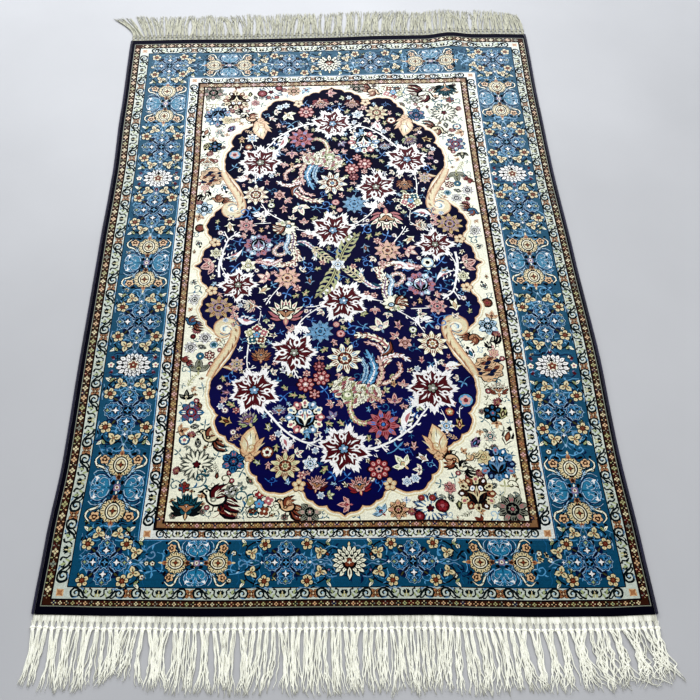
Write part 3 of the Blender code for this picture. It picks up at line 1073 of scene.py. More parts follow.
def make_scales():
    """A round tuft of small feathers that overlap and all point one way."""
    tuft = Sketch()
    rng = random.Random(5)
    tuft.fill("ink", scallop(9, 10.6, 9.0))
    tuft.fill("petal", scallop(9, 9.9, 8.2))
    for row in range(6):
        for column in range(6):
            x, y = (column - 2.5 + 0.5 * (row % 2)) * 3.5, (2.5 - row) * 3.3
            if math.hypot(x, y) < 8.8:
                turn = 200 + rng.uniform(-26, 26)
                tuft.fill("ink", leaf(x + 2.5, y + 0.9, turn, 6.0, 3.0))
                tuft.fill(("petal", "ring", "petal", "heart", "ring")[(row * 2 + column) % 5],
                          leaf(x + 2.4, y + 0.9, turn, 5.6, 2.3))
                tuft.fill("ink", leaf(x + 1.4, y + 0.5, turn, 2.6, 0.6))
    return tuft


def make_bird():
    """A plain bird in profile that faces left, with a raised wing and a long tail."""
    bird = Sketch()
    for bend, length in ((-0.30, 19), (-0.16, 17), (-0.02, 15), (0.12, 12)):
        turn = -20 + bend * 70
        bird.fill("ink", leaf(1, -1, turn, length + 1.2, 3.6, bend))
        bird.fill("ring", leaf(2, -1, turn, length - 0.8, 2.2, bend))
        bird.fill("petal", leaf(4, -1.6, turn, length * 0.6, 0.8, bend))
    bird.fill("ink", smooth([(-12.2, 4.6), (-8.6, 7.2), (-4.6, 5.0), (0, 4.2), (6.2, 0.4), (4.2, -5.0),
                             (-2.6, -6.4), (-7.8, -3.0), (-9.2, 1.6)], 2, closed=True))
    bird.fill("petal", smooth([(-10.8, 4.5), (-8.2, 5.8), (-5.4, 3.8), (-0.4, 2.6), (4.4, 0.0),
                               (3.0, -3.7), (-2.4, -5.0), (-6.6, -2.4), (-7.8, 1.8)], 2, closed=True))
    bird.fill("ink", leaf(-10.0, 4.9, 198, 4.6, 2.0))
    bird.fill("ink", oval(-8.3, 4.6, 0.8, sides=5))
    for turn, length in ((14, 10.4), (32, 13.0), (50, 14.4), (68, 12.4)):
        bird.fill("ink", leaf(-4.6, -1.8, turn, length + 1.0, 4.0, 0.16))
        bird.fill("ring", leaf(-4.0, -1.4, turn, length - 0.8, 2.5, 0.16))
        bird.fill("petal", leaf(-2.0, 0.0, turn, length * 0.56, 0.8, 0.16))
    bird.fill("heart", oval(-3.2, -1.4, 2.3, 1.8, 20, 8))
    bird.fill("petal", oval(-3.2, -1.4, 1.0, 0.8, 20, 6))
    for x in (-2.6, 0.8):
        bird.fill("ink", ribbon([(x, -5.4), (x - 0.5, -9.2), (x - 2.6, -9.6)], 0.9))
    return bird


def draw_plume(sketch, nodes, width, dyes):
    """A long tail feather: a light band with a dark rib and short barbs on its outer side."""
    rim, inside, rib = dyes
    path = smooth(nodes, 6)
    sketch.fill("ink", ribbon(path, width * 1.5, width * 0.7, width * 0.9))
    sketch.fill(rim, ribbon(path, width, width * 0.4, width * 0.8))
    sketch.fill(inside, ribbon(path[:-3], width * 0.42, width * 0.16, width * 0.3))
    last = len(path) - 2
    for index in range(1, last):
        (x0, y0), (x1, y1) = path[index], path[index + 1]
        turn = math.degrees(math.atan2(y1 - y0, x1 - x0))
        for side in (-1, 1):
            if (index + side) % 3:
                sketch.fill(rim if index % 2 else rib,
                            leaf(x0, y0, turn + side * 40, width * 1.5, width * 0.46, side * 0.2))
    for index in range(2, last, 3):
        sketch.fill(rib, oval(*path[index], width * 0.24, sides=5))


def draw_near_bird(sketch):
    """A great bird with a bent neck, a scaled breast and plumes that sweep overhead."""
    plumes = (
        (((86, -262), (102, -232), (88, -204), (60, -190), (34, -188)), 7.0, ("cream", "rose", "rust")),
        (((80, -258), (88, -232), (76, -212), (52, -204)), 5.0, ("pink", "white", "burgundy")),
        (((74, -250), (96, -240), (118, -236), (140, -250)), 5.5, ("white", "pink", "rust")),
        (((76, -300), (100, -292), (120, -270), (116, -250)), 5.0, ("pink", "cream", "rust")),
        (((52, -318), (74, -300), (84, -272), (78, -236)), 6.5, ("pink", "straw", "burgundy")),
        (((44, -312), (62, -290), (70, -262), (56, -222)), 7.5, ("azure", "white", "cobalt")),
        (((36, -306), (50, -286), (54, -260), (40, -236)), 5.5, ("ice", "cobalt", "steel")),
    )
    for nodes, width, dyes in plumes:
        draw_plume(sketch, nodes, width, dyes)
    sketch.fill("ink", leaf(84, -238, 62, 42, 14, -0.2))
    sketch.fill("rust", leaf(86, -236, 62, 36, 9, -0.2))
    sketch.fill("ice", leaf(88, -232, 62, 26, 2.6, -0.2))
    for x, y, size in ((14, -306, 26), (36, -316, 24), (62, -318, 20), (26, -330, 18)):
        place_motif(sketch, "scales", x, y, size, x, "cream", "rose", "olive")
    draw_plume(sketch, ((24, -328), (22, -352), (30, -372), (46, -380), (62, -376)), 5.5,
               ("olive", "cream", "rose"))
    draw_plume(sketch, ((58, -322), (72, -330), (86, -338)), 5.0, ("pink", "olive", "rust"))
    sketch.fill("ink", oval(18, -322, 12, 10))
    sketch.fill("sage", scallop(6, 11, 8, 90, 18, -322))
    sketch.fill("cream", oval(18, -320, 6.4, 5.2))
    sketch.fill("ink", oval(20, -319, 1.8, sides=6))


def draw_far_bird(sketch):
    """A smaller bird of the same kind with loops for its tail."""
    plumes = (
        (((106, -62), (84, -74), (64, -62), (54, -42), (58, -24)), 5.5, ("white", "rose", "steel")),
        (((104, -60), (92, -44), (98, -24), (116, -14), (138, -16)), 6.5, ("cream", "pink", "rust")),
        (((116, -66), (118, -46), (132, -40), (142, -50), (132, -66), (120, -70)), 5.0,
         ("pink", "white", "grey")),
        (((124, -30), (148, -16), (168, -22), (182, -24)), 4.5, ("pink", "white", "rose")),
        (((104, -102), (100, -82), (104, -58), (98, -34)), 6.5, ("cream", "mauve", "burgundy")),
        (((112, -104), (112, -80), (118, -60), (108, -40)), 5.0, ("ice", "white", "steel")),
    )
    for nodes, width, dyes in plumes:
        draw_plume(sketch, nodes, width, dyes)
    sketch.fill("ink", oval(120, -114, 27, 20, 20))
    sketch.fill("cream", [(120 + x, -114 + y) for x, y in serrated([(27, 20)] * 11, 20, 0.78)])
    for index in range(9):
        turn = 200 + 30 * index
        sketch.fill(("sage", "peach", "grey")[index % 3],
                    leaf(*polar(8, turn, 120, -114), turn, 13, 5))
        sketch.fill("ink", leaf(*polar(9, turn + 15, 120, -114), turn + 15, 10, 1.2))
    for turn in (-14, 8, 30, 52):
        sketch.fill("ink", leaf(118, -118, turn, 33, 7.4, 0.12))
        sketch.fill("rust", leaf(120, -117, turn, 28, 4.6, 0.12))
        sketch.fill("cream", leaf(124, -116, turn, 18, 1.2, 0.12))
    sketch.fill("marine", leaf(96, -72, 150, 24, 7, 0.1))
    sketch.fill("teal", leaf(94, -71, 150, 18, 4, 0.1))
    sketch.fill("ink", oval(112, -118, 7.5, 6))
    sketch.fill("ice", oval(112, -118, 5, 4))
    sketch.fill("ink", oval(111, -117, 1.6, sides=6))


MOTIFS = {
    "rosette6": make_rosette(6), "rosette8": make_rosette(8), "rosette10": make_rosette(10),
    "wreath": make_wreath(12), "loops": make_loops(8), "loops6": make_loops(6),
    "star": make_star(8, 5), "wide": make_star(8, 4, 1.1), "three": make_star(7, 3, 1.4),
    "thistle": make_thistle(16), "palmette": make_palmette(), "lily": make_lily(),
    "bud": make_bud(), "disc": make_disc(), "sprig": make_sprig(), "curl": make_curl(),
    "frond": make_frond(7), "feather": make_frond(5), "bouquet": make_bouquet(),
    "scales": make_scales(), "bird": make_bird(),
}

def place_motif(sketch, name, x, y, size, turn, petal, ring, heart, flip=False):
    """Put a flower of a given radius, in mm, with dyes for its petals, its rings and its heart."""
    sketch.put(MOTIFS[name], x, y, turn, size / 10, flip,
               {"petal": petal, "ring": ring, "heart": heart})


# One half of the navy field: the other half is this one turned about FIELD_CENTRE.
FIELD_CENTRE = (8, -13)
FIELD_MOTIFS = """
motif      x     y    size  turn petal  ring     heart
star      -158  -308  46    20   white  burgundy steel
wide      -198   -62  37    90   white  burgundy grey
three      -83  -226  43   -90   white  burgundy grey
star        16  -105  47    12   white  burgundy steel
star         8  -430  45    30   white  burgundy steel
star       177  -308  47     0   white  burgundy grey
wreath     -62  -366  35     0   cream  rose     steel
rosette10  -97  -462  25     0   straw  rust     sage
rosette10   82  -383  28    10   rose   red      sky
loops       70  -470  20     0   pink   red      marine
rosette10 -235  -118  26     0   gold   mauve    rust
rosette10  -97   -46  26     0   pink   peach    rust
palmette  -100  -130  35     0   cream  rose     burgundy
rosette10  -32  -178  24     0   steel  azure    cobalt
wreath     175   -67  29     0   mauve  rose     ice
rosette8   203  -122  18     0   pink   rose     teal
rosette10  185  -210  27     0   cream  rust     gold
rosette6   132  -208  13     0   pink   rust     pink
rosette6   -52  -458  14    10   white  ice      teal
rosette8   197  -386  14     0   white  azure    gold
rosette8  -193  -250  14     0   pink   olive    steel
loops       -61 -297  17     0   pink   red      white
loops       -31 -283  17    20   pink   red      white
loops6      -44 -318  11     0   pink   red      rose
loops       -35 -258  12     0   rose   burgundy pink
palmette   -40  -497  19   -10   pink   burgundy rust
palmette    35  -500  21     8   pink   red      cobalt
lily         8  -535  15    90   pink   red      rose
lily        85  -165  21    20   cream  pink     steel
lily       110  -457  19    40   cream  sage     peach
lily      -262   -16  19   100   pink   burgundy cream
lily       280   -18  19   -60   pink   red      cream
lily       105  -331  15     0   pink   red      mauve
lily      -146   -43  18    60   pink   cream    rose
bud       -146   -76  17   -50   cream  peach    gold
palmette  -168  -369  19    30   mauve  sage     gold
palmette  -110  -350  13     0   ice    mauve    gold
palmette  -147  -232  19     0   apricot rust    cobalt
disc      -130  -435  12     0   cream  rust     burgundy
bud       -129  -386  11    10   olive  cream    moss
bud        150  -450  14    60   white  peach    mauve
disc       205  -357   9     0   gold   red      cream
bud        221  -383  14     0   gold   red      straw
disc       237  -333  14     0   pink   azure    red
lily       -12  -362  12    30   mauve  steel    cream
bud        -58  -399  13   180   azure  ice      cobalt
bud       -207  -372  15    70   gold   brown    rust
bud       -210  -312  11    90   mauve  rose     pink
lily      -215  -327   9    40   pink   rust     cream
rosette6  -190  -350   7     0   rose   rust     cream
bud        -51   -55  15    10   steel  rust     apricot
bouquet   -157  -184  24     0   cream  rose     azure
bud       -124  -186  11    80   cream  rust     cobalt
bud       -104  -266  11    30   white  ice      rose
palmette  -172  -115  16    90   cream  pink     teal
disc      -178   -14  14     0   cream  ice      ink
rosette6   195   -14  16     0   cream  olive    white
bud        226   -32  13   -70   ice    peach    rust
rosette6   264   -47  13     0   cream  olive    moss
bud        238  -120  18    10   cream  peach    olive
bud        265  -118   9     0   azure  sky      cobalt
bud        170  -108   9   180   gold   peach    apricot
bud        122  -168  14    10   pink   rose     teal
disc       150  -178   8     0   white  sage     moss
bud        161  -247  10     0   pink   rose     red
bud        213  -239   7     0   pink   rose     red
bud        137  -270   9   -60   cream  rose     red
bud         56  -352   8    20   azure  steel    ice
bud        105  -299  10    10   peach  apricot  rust
bud       -147  -455   9    60   sage   cream    teal
rosette6   118  -494   9     0   white  ice      azure
rosette6   133  -488   9    30   white  ice      azure
bud         -2  -505   7    80   pink   rose     cream
disc         0  -162   7     0   pink   rose     peach
disc         8  -184   9     0   pink   rose     red
bud         55  -139  11   -60   olive  sage     straw
rosette10   14  -241  31    10   cream  rust     steel
bud       -188  -217   9   -20   white  azure    ice
"""


# What fills the gaps: motif, size, petal, ring, heart.
FIELD_FILLERS = (
    ("sprig", 8.5, "sky", "azure", "sky"), ("sprig", 10, "azure", "sky", "sky"),
    ("sprig", 7.5, "cobalt", "azure", "sky"), ("curl", 9.5, "sky", "azure", "sky"),
    ("curl", 8.0, "azure", "ice", "sky"), ("curl", 11, "cobalt", "azure", "sky"),
    ("sprig", 9, "sky", "cobalt", "sky"), ("curl", 9, "sky", "cobalt", "sky"),
    ("bud", 7.5, "pink", "rose", "cream"), ("bud", 8.5, "cream", "rust", "sage"),
    ("bud", 8, "ice", "azure", "white"), ("rosette6", 7.5, "pink", "red", "cream"),
    ("disc", 6.5, "cream", "mauve", "rust"), ("lily", 8.5, "cream", "rose", "teal"),
    ("rosette6", 7, "white", "steel", "azure"), ("lily", 8, "sage", "cream", "rust"),
)
FIELD_LEAVES = (
    ("curl", 14, "sky", "azure", "sky"), ("sprig", 13, "azure", "sky", "sky"),
    ("lily", 11, "cream", "rose", "teal"), ("curl", 13, "cobalt", "sky", "sky"),
    ("bud", 11, "pink", "rose", "cream"), ("sprig", 13, "sky", "ice", "sky"),
    ("bud", 10, "sage", "peach", "gold"), ("lily", 11, "pink", "red", "cream"),
)
SPANDREL_LEAVES = (
    ("curl", 15, "teal", "cobalt", "teal"), ("lily", 12, "peach", "rust", "brown"),
    ("sprig", 14, "teal", "steel", "teal"), ("bud", 12, "cream", "rust", "burgundy"),
    ("feather", 12, "grey", "moss", "moss"), ("curl", 13, "moss", "teal", "teal"),
    ("palmette", 10, "rose", "burgundy", "gold"), ("bud", 11, "grey", "marine", "cream"),
)
SPANDREL_FILLERS = (
    ("sprig", 8.5, "teal", "cobalt", "teal"), ("sprig", 7.5, "teal", "ice", "teal"),
    ("curl", 8.5, "teal", "cobalt", "teal"), ("curl", 7.5, "steel", "teal", "teal"),
    ("sprig", 7.5, "moss", "olive", "teal"), ("curl", 8, "moss", "sage", "teal"),
    ("bud", 7, "straw", "rust", "burgundy"), ("bud", 7, "grey", "teal", "cream"),
    ("rosette6", 7, "grey", "ink", "rose"), ("lily", 7.5, "peach", "rust", "brown"),
    ("disc", 5.5, "rose", "burgundy", "cream"), ("lily", 7.5, "grey", "teal", "cream"),
)


BORDER_LEAVES = (
    ("curl", 15, "steel", "azure", "ice"), ("sprig", 15, "azure", "steel", "ice"),
    ("curl", 16, "marine", "cobalt", "ink"), ("curl", 14, "azure", "ice", "ice"),
    ("sprig", 14, "ink", "marine", "ink"),
)
BORDER_FILLERS = (
    ("sprig", 9, "steel", "azure", "ice"), ("curl", 10, "steel", "azure", "ice"),
    ("sprig", 9, "ink", "marine", "ink"), ("curl", 10, "marine", "ink", "ink"),
    ("sprig", 8, "azure", "ice", "ice"), ("curl", 9, "cobalt", "azure", "ice"),
    ("bud", 7, "straw", "moss", "brown"), ("sprig", 9, "marine", "cobalt", "ink"),
    ("lily", 7, "ink", "sage", "straw"), ("disc", 5, "cream", "moss", "rust"),
)


def read_motifs(text):
    """The rows of a table of motifs, without its line of column names."""
    rows = [line.split() for line in text.strip().splitlines()]
    return [(row[0], *(float(value) for value in row[1:5]), *row[5:8]) for row in rows[1:]]


# White stems of the field: width at the start, then the points that the stem passes.
STEMS = """
4.0  -140 -345  -122 -366  -104 -388   -82 -406   -56 -418   -36 -412   -30 -405
2.2   -56 -418   -40 -424   -30 -428
2.6   -56 -418   -59 -430
4.4    44 -430    62 -430    80 -424   104 -412   124 -397   141 -383   153 -365   166 -348
2.6    78 -428    86 -438
3.0   186 -244   188 -258   186 -270
2.8   -84 -262   -80 -274   -73 -286
3.0   -86 -202   -80 -182   -74 -160   -60 -142   -40 -126   -22 -116
2.6  -202  -92  -186 -100  -166 -110  -150 -124
2.8  -232   22  -236   -8  -228  -30  -218  -44
2.6  -172 -204  -174 -232  -172 -258  -160 -276
2.2  -172 -262  -156 -258
2.6  -112  -68  -128  -90  -140 -112
2.2  -136 -96   -146 -100
4.2   254   16   256  -14   252  -42   246  -64   238  -86   216 -104
3.0   240  -84   250 -106
2.4   214 -120   186 -126   150 -128
2.8   116 -128   140 -144   158 -160   172 -184
2.2    60 -100    90 -108   106 -114
1.8   160 -162   146 -160
2.0   -60 -120   -40 -118   -26 -112
1.6  -150 -128  -152 -146  -156 -162
1.4  -196 -318  -218 -310
1.4   165 -348   186 -358
1.4   197 -372   190 -352
1.4   222 -372   224 -350   232 -340
1.4    70 -452    66 -440
1.4  -120 -356  -128 -364
"""
# Leaves of those stems: x, y, turn, length, width, bend.
LEAVES = """
-104 -398   -72  38 13  0.06
 118 -396    68  54 15  0.10
 -70 -158  -106  30 12 -0.10
 -72 -166   -40  26 10  0.10
 205 -262     8  28 11  0.20
 164 -166    86  22  9  0.25
 170 -158    20  22 10  0.20
-198 -142   -14  40 13 -0.18
 -92 -425    60  16  7  0.10
 246  -34  -148  44 10 -0.20
  66  -92   -70  18  9  0.10
 230  -96    168 18  6  0.10
 150 -100    -10  6  3  0.10
 136 -348   104  22  5 -0.30
 160 -352   110  16  5  0.20
-140    2   -20  44  9 -0.18
 176   -18  186  40  9  0.15
"""


def read_numbers(text):
    """The rows of a table that holds only numbers."""
    return [[float(value) for value in line.split()] for line in text.strip().splitlines()]


def draw_stem(sketch, path, width):
    """A white stem with small barbs on both sides."""
    sketch.fill("white", ribbon(path, width, width * 0.66))
    for index in range(2, len(path) - 2, 2):
        (x0, y0), (x1, y1) = path[index], path[index + 1]
        turn = math.degrees(math.atan2(y1 - y0, x1 - x0))
        side = 1 if index % 4 else -1
        sketch.fill("white", leaf(x0, y0, turn + side * 34, 6.0 + width, 1.0 + width * 0.5,
                                  side * 0.25))


CROWDING = 0.72          # share of a small flower's radius that others keep clear of
SCATTER_HALF = (490, 720)


def scatter(sketch, taken, inside, seed, step, choices):
    """Small leaves and flowers where nothing else is: taken holds (x, y, radius) rows."""
    rng = random.Random(seed)
    taken = list(taken)
    for row in range(int(-SCATTER_HALF[1] / step), int(SCATTER_HALF[1] / step)):
        for column in range(int(-SCATTER_HALF[0] / step), int(SCATTER_HALF[0] / step)):
            x = (column + rng.uniform(-0.45, 0.45)) * step
            y = (row + rng.uniform(-0.45, 0.45)) * step
            name, size, *dyes = rng.choice(choices)
            size *= rng.uniform(0.85, 1.15)
            turn = rng.uniform(0, 360)
            if inside(x, y, size) and all(math.hypot(x - tx, y - ty) > reach + size * CROWDING
                                          for tx, ty, reach in taken):
                place_motif(sketch, name, x, y, size, turn, *dyes)
                taken.append((x, y, size * CROWDING))
    return taken


def opposite(x, y):
    """Where half a turn about the field's centre takes a place."""
    return 2 * FIELD_CENTRE[0] - x, 2 * FIELD_CENTRE[1] - y


# What the small leaves of a half field keep clear of. Round the great birds: x, y.
BIRD_ROOM = (
    (20, -310), (50, -320), (75, -290), (60, -260), (90, -240), (60, -225), (95, -215), (60, -200),
    (28, -350), (45, -375), (115, -262), (120, -112), (105, -85), (108, -55), (80, -70), (62, -45),
    (120, -30), (140, -50), (38, -245), (128, -240),
)
# Leaves of the pinwheel: turn, radius kept clear, distances from the centre.
PINWHEEL_ROOM = ((62, 15, (20, 45, 70, 90)), (-42, 10, (15, 32, 50)))
# Flowers on the outline: across and along from the centre, radius kept clear.
OUTLINE_ROOM = ((164, 400, 30), (158, 376, 20), (80, 486, 12), (232, 158, 16))


def draw_half_field(sketch, outline):
    """The near half of the navy field: small leaves, then stems, birds and flowers over them."""
    stems = [(row[0], smooth(list(zip(row[1::2], row[2::2])), 4)) for row in read_numbers(STEMS)]
    motifs = read_motifs(FIELD_MOTIFS)
    cx, cy = FIELD_CENTRE
    taken = [(x, y, size * 0.9) for _, x, y, size, *_ in motifs]
    taken += [(*place, 3.0) for _, path in stems for place in path]
    taken += [(*place, 17) for place in BIRD_ROOM]
    taken += [(*polar(reach, turn + half_turn, cx, cy), room)
              for turn, room, reaches in PINWHEEL_ROOM for half_turn in (0, 180) for reach in reaches]
    taken += [(cx + side * across, cy - along, room) for side in (-1, 1)
              for across, along, room in OUTLINE_ROOM]
    taken += [(*opposite(x, y), room) for x, y, room in taken]

    def inside(x, y, size):
        return y < cy and near_outline(outline, x, y) > size + 5 and in_ring(outline, x, y)

    taken = scatter(sketch, taken, inside, 17, 13.0, FIELD_LEAVES)
    scatter(sketch, taken, inside, 11, 10.0, FIELD_FILLERS)
    for width, path in stems:
        draw_stem(sketch, path, width * 1.15)
    for x, y, turn, length, width, bend in read_numbers(LEAVES):
        sketch.fill("white", leaf(x, y, turn, length, width, bend))
        for share in (0.2, 0.4, 0.6):
            for side in (-1, 1):
                sketch.fill("white", leaf(*polar(length * share, turn, x, y), turn + side * 38,
                                          width * 0.9, width * 0.3, side * 0.2))
        if length > 30:
            sketch.fill("rose", leaf(*polar(length * 0.3, turn, x, y), turn, length * 0.44,
                                     width * 0.4, bend))
    for share in (0.30, 0.52, 0.74):
        sketch.fill("marine", oval(*polar(44 * share, 212, 246, -34), 2.6, sides=7))
    draw_near_bird(sketch)
    draw_far_bird(sketch)
    for row in motifs:
        place_motif(sketch, *row)


def near_outline(outline, x, y):
    """How far a place is from the nearest point of an outline."""
    return min(math.hypot(x - px, y - py) for px, py in outline)


def in_ring(ring, x, y):
    """Whether a place lies inside a closed outline."""
    inside = False
    for (x0, y0), (x1, y1) in zip(ring, ring[1:] + ring[:1]):
        if (y0 > y) != (y1 > y) and x < x0 + (x1 - x0) * (y - y0) / (y1 - y0):
            inside = not inside
    return inside


# ---------------------------------------------------------------- the field's outline
# From the tip of the left side round to the near tip, away from the centre, then mirrored:
# (across, along, how far the arc to the next point swells, as a share of its length).
OUTLINE = (
    (297, 0, -0.10), (283, 12, 0.18), (281, 28, 0.22), (271, 48, 0.0), (262, 62, 0.0),
    (268, 80, 0.20), (275, 99, 0.22), (276, 119, 0.16), (264, 136, 0.20), (257, 152, 0.0),
    (246, 163, 0.0), (223, 158, 0.0), (200, 170, 0.0), (203, 196, 0.0), (214, 224, 0.0),
    (230, 248, 0.0), (240, 262, 0.14), (248, 290, 0.10), (247, 313, 0.14), (238, 334, 0.16),
    (229, 346, 0.20), (232, 372, 0.18), (214, 388, 0.20), (198, 404, 0.16), (180, 413, 0.10),
    (160, 425, 0.0), (160, 436, 0.20), (168, 452, 0.18), (153, 467, 0.20), (146, 482, 0.22),
    (122, 497, 0.14), (96, 494, 0.0), (80, 486, 0.0), (68, 500, 0.22), (54, 514, 0.22),
    (30, 522, 0.20), (12, 534, -0.10), (0, 541, 0.0),
)


def swell(points):
    """The outline with its arcs drawn out."""
    path = []
    for (x0, y0, rise), (x1, y1, _) in zip(points, points[1:]):
        path.append((x0, y0))
        if rise:
            for share in (0.25, 0.5, 0.75):
                lift = rise * math.sin(math.pi * share)
                path.append((x0 + (x1 - x0) * share + (y1 - y0) * lift,
                             y0 + (y1 - y0) * share - (x1 - x0) * lift))
    path.append(points[-1][:2])
    return path


def field_outline():
    """Round the whole field, anticlockwise from the left tip."""
    quarter = swell(OUTLINE)
    cx, cy = FIELD_CENTRE
    near_left = [(cx - x, cy - y) for x, y in quarter]
    near_right = [(cx + x, cy - y) for x, y in quarter[::-1][1:]]
    far_right = [(cx + x, cy + y) for x, y in quarter[1:]]
    far_left = [(cx - x, cy + y) for x, y in quarter[::-1][1:-1]]
    return near_left + near_right + far_right + far_left


# One end of a short piece of line: along and across it, as shares of half its width.
ROUND_END = ((0, -1), (-0.8, -0.5), (-0.8, 0.5), (0, 1))


def draw_line_round(sketch, colour, path, width):
    """A line of even width round a closed path, as short pieces that overlap."""
    for index, (x0, y0) in enumerate(path):
        x1, y1 = path[(index + 1) % len(path)]
        length = math.hypot(x1 - x0, y1 - y0) or 1.0
        dx, dy = (x1 - x0) / length * width / 2, (y1 - y0) / length * width / 2
        start = [(x0 + dx * along + dy * across, y0 + dy * along - dx * across)
                 for along, across in ROUND_END]
        stop = [(x1 - dx * along - dy * across, y1 - dy * along + dx * across)
                for along, across in ROUND_END]
        sketch.fill(colour, start + stop)


def make_volute():
    """A cream scroll of the outline with a rolled head at (0, 0), its stalk to the near left."""
    volute = Sketch()
    stalk = smooth([(-30, -108), (-20, -84), (-4, -56), (10, -30), (16, -8), (12, 12), (-2, 20),
                    (-17, 13), (-20, -2), (-12, -13), (-1, -12), (4, -3)], 5)
    volute.fill("apricot", ribbon(stalk, 14, 6, 10))
    volute.fill("peach", ribbon(stalk, 10, 4, 9))
    volute.fill("straw", ribbon(stalk, 6, 2, 8))
    volute.fill("cream", oval(-3, 2, 12, 11))
    inner = smooth([(-14, -8), (-6, -13), (5, -8), (7, 2), (0, 8), (-8, 5), (-8, -2), (-3, -3)], 3)
    volute.fill("cobalt", ribbon(inner, 1.8, 1.6))
    volute.fill("ice", ribbon(smooth([(-3, 5), (-7, 2), (-5, -3)], 3), 3.0, 1.6))
    for x, y, turn, length in ((4, 14, -20, 12), (12, 4, -60, 14), (14, -12, -86, 18),
                               (10, -30, -100, 22), (4, -46, -110, 22), (-4, -60, -114, 22),
                               (-12, -76, -112, 20)):
        volute.fill("apricot", leaf(x, y, turn, length, 3.4, 0.16))
        volute.fill("peach", leaf(x - 5, y - 3, turn - 14, length, 3.0, -0.16))
        volute.fill("brown", leaf(x + 1, y - 4, turn, length * 0.5, 1.0, 0.16))
    for colour, length, width in (("brown", 33, 13), ("apricot", 30, 9.6), ("straw", 22, 4)):
        volute.fill(colour, leaf(-6, -86, -22, length, width, 0.16))
    return volute


def make_knob():
    """A small three-lobed flower on the outline."""
    knob = Sketch()
    for colour, outer, inner in (("brown", 13.4, 9.6), ("peach", 12.0, 8.0), ("straw", 9.0, 5.0)):
        knob.fill(colour, scallop(5, outer, inner, 0))
    knob.fill("apricot", burst(5, 7.0, 2.4, 36))
    knob.fill("brown", oval(0, 0, 2.2, sides=6))
    return knob


def make_flame():
    """A large peach bud on the outline, with a rolled middle; its tip points into the field."""
    flame = Sketch()
    petals = ((38, 24, 9), (142, 24, 9), (64, 48, 13), (116, 46, 13), (92, 63, 35))
    for turn, length, width in petals:
        flame.fill("brown", leaf(0, -29, turn, length + 2.6, width + 2.6, 0.06))
    for turn, length, width in petals:
        flame.fill("peach", leaf(0, -28, turn, length, width, 0.06))
        flame.fill("apricot", leaf(*polar(10, turn + 12, 0, -28), turn - 4, length * 0.6, 2.6, 0.12))
    flame.fill("straw", leaf(-1, -20, 92, 48, 24, 0.08))
    flame.fill("cream", leaf(-2, -14, 94, 34, 12, 0.08))
    flame.fill("apricot", ribbon(coil(0, -9, 9.5, 250, 430, 0.2, 14), 2.6, 1.4))
    flame.fill("gold", ribbon(coil(0, -9, 6.4, 60, 330, 0.3, 10), 1.8, 1.0))
    for side in (-1, 1):
        flame.fill("apricot", leaf(side * 8, -22, 92 - side * 22, 40, 2.4, side * 0.22))
        flame.fill("straw", leaf(side * 10, -18, 92 - side * 34, 26, 3.0, side * 0.10))
        flame.fill("brown", leaf(side * 5, 6, 92 - side * 10, 20, 1.3, side * 0.10))
    flame.fill("brown", scallop(5, 9.4, 6.6, 90, 0, -29))
    flame.fill("peach", scallop(5, 8.0, 5.2, 90, 0, -29))
    flame.fill("apricot", oval(0, -29, 3, 2.4, 0, 8))
    return flame


# Flowers on the outline, from the field's centre: across, along.
VOLUTE_PLACE = (223, 158)
SIDE_KNOB_PLACE = (259, 63)
END_KNOB_PLACE = (80, 486)
FLAME_PLACE = (166, 404)
FEATHER_PLACE = (196, 392)
# The field's navy darkens away from the viewer, as painted shade of the silk pile: where each of these
# navies starts.
NAVY_SHADE_BANDS = ((-300, "navy haze"), (-120, "navy dusk"), (60, "navy night"), (240, "navy deep"))


def beyond(outline, start):
    """The part of a closed outline that lies further from the viewer than start."""
    part = []
    for (x0, y0), (x1, y1) in zip(outline, outline[1:] + outline[:1]):
        if (y0 > start) != (y1 > start):
            part.append((x0 + (x1 - x0) * (start - y0) / (y1 - y0), start))
        if y1 > start:
            part.append((x1, y1))
    return part


def draw_field_ground(sketch):
    """The navy ground, the bands of its outline and the flowers that sit on them."""
    outline = field_outline()
    for colour, width in (("straw", 19), ("cream", 14), ("peach", 8), ("brown", 2.4)):
        draw_line_round(sketch, colour, outline, width)
    sketch.fill("navy", outline)
    # Painted shade: ever darker navy over the farther parts of the field.
    for start, colour in NAVY_SHADE_BANDS:
        sketch.fill(colour, beyond(outline, start))
    cx, cy = FIELD_CENTRE
    volute, knob, flame = make_volute(), make_knob(), make_flame()
    for side in (-1, 1):
        for end in (-1, 1):
            mirrored = side != end
            base = 0 if end < 0 else 180
            places = [(cx + side * across, cy + end * along) for across, along in
                      (VOLUTE_PLACE, SIDE_KNOB_PLACE, END_KNOB_PLACE, FLAME_PLACE, FEATHER_PLACE)]
            sketch.put(volute, *places[0], base, flip=mirrored)
            sketch.put(knob, *places[1], 90 + side * 90 + 180)
            sketch.put(knob, *places[2], 90 * end + 180)
            sketch.put(flame, *places[3], base + (8 if mirrored else -8), flip=mirrored)
            place_motif(sketch, "feather", *places[4], 13, 90 + side * 90 + end * side * 30,
                        "peach", "rust", "straw")


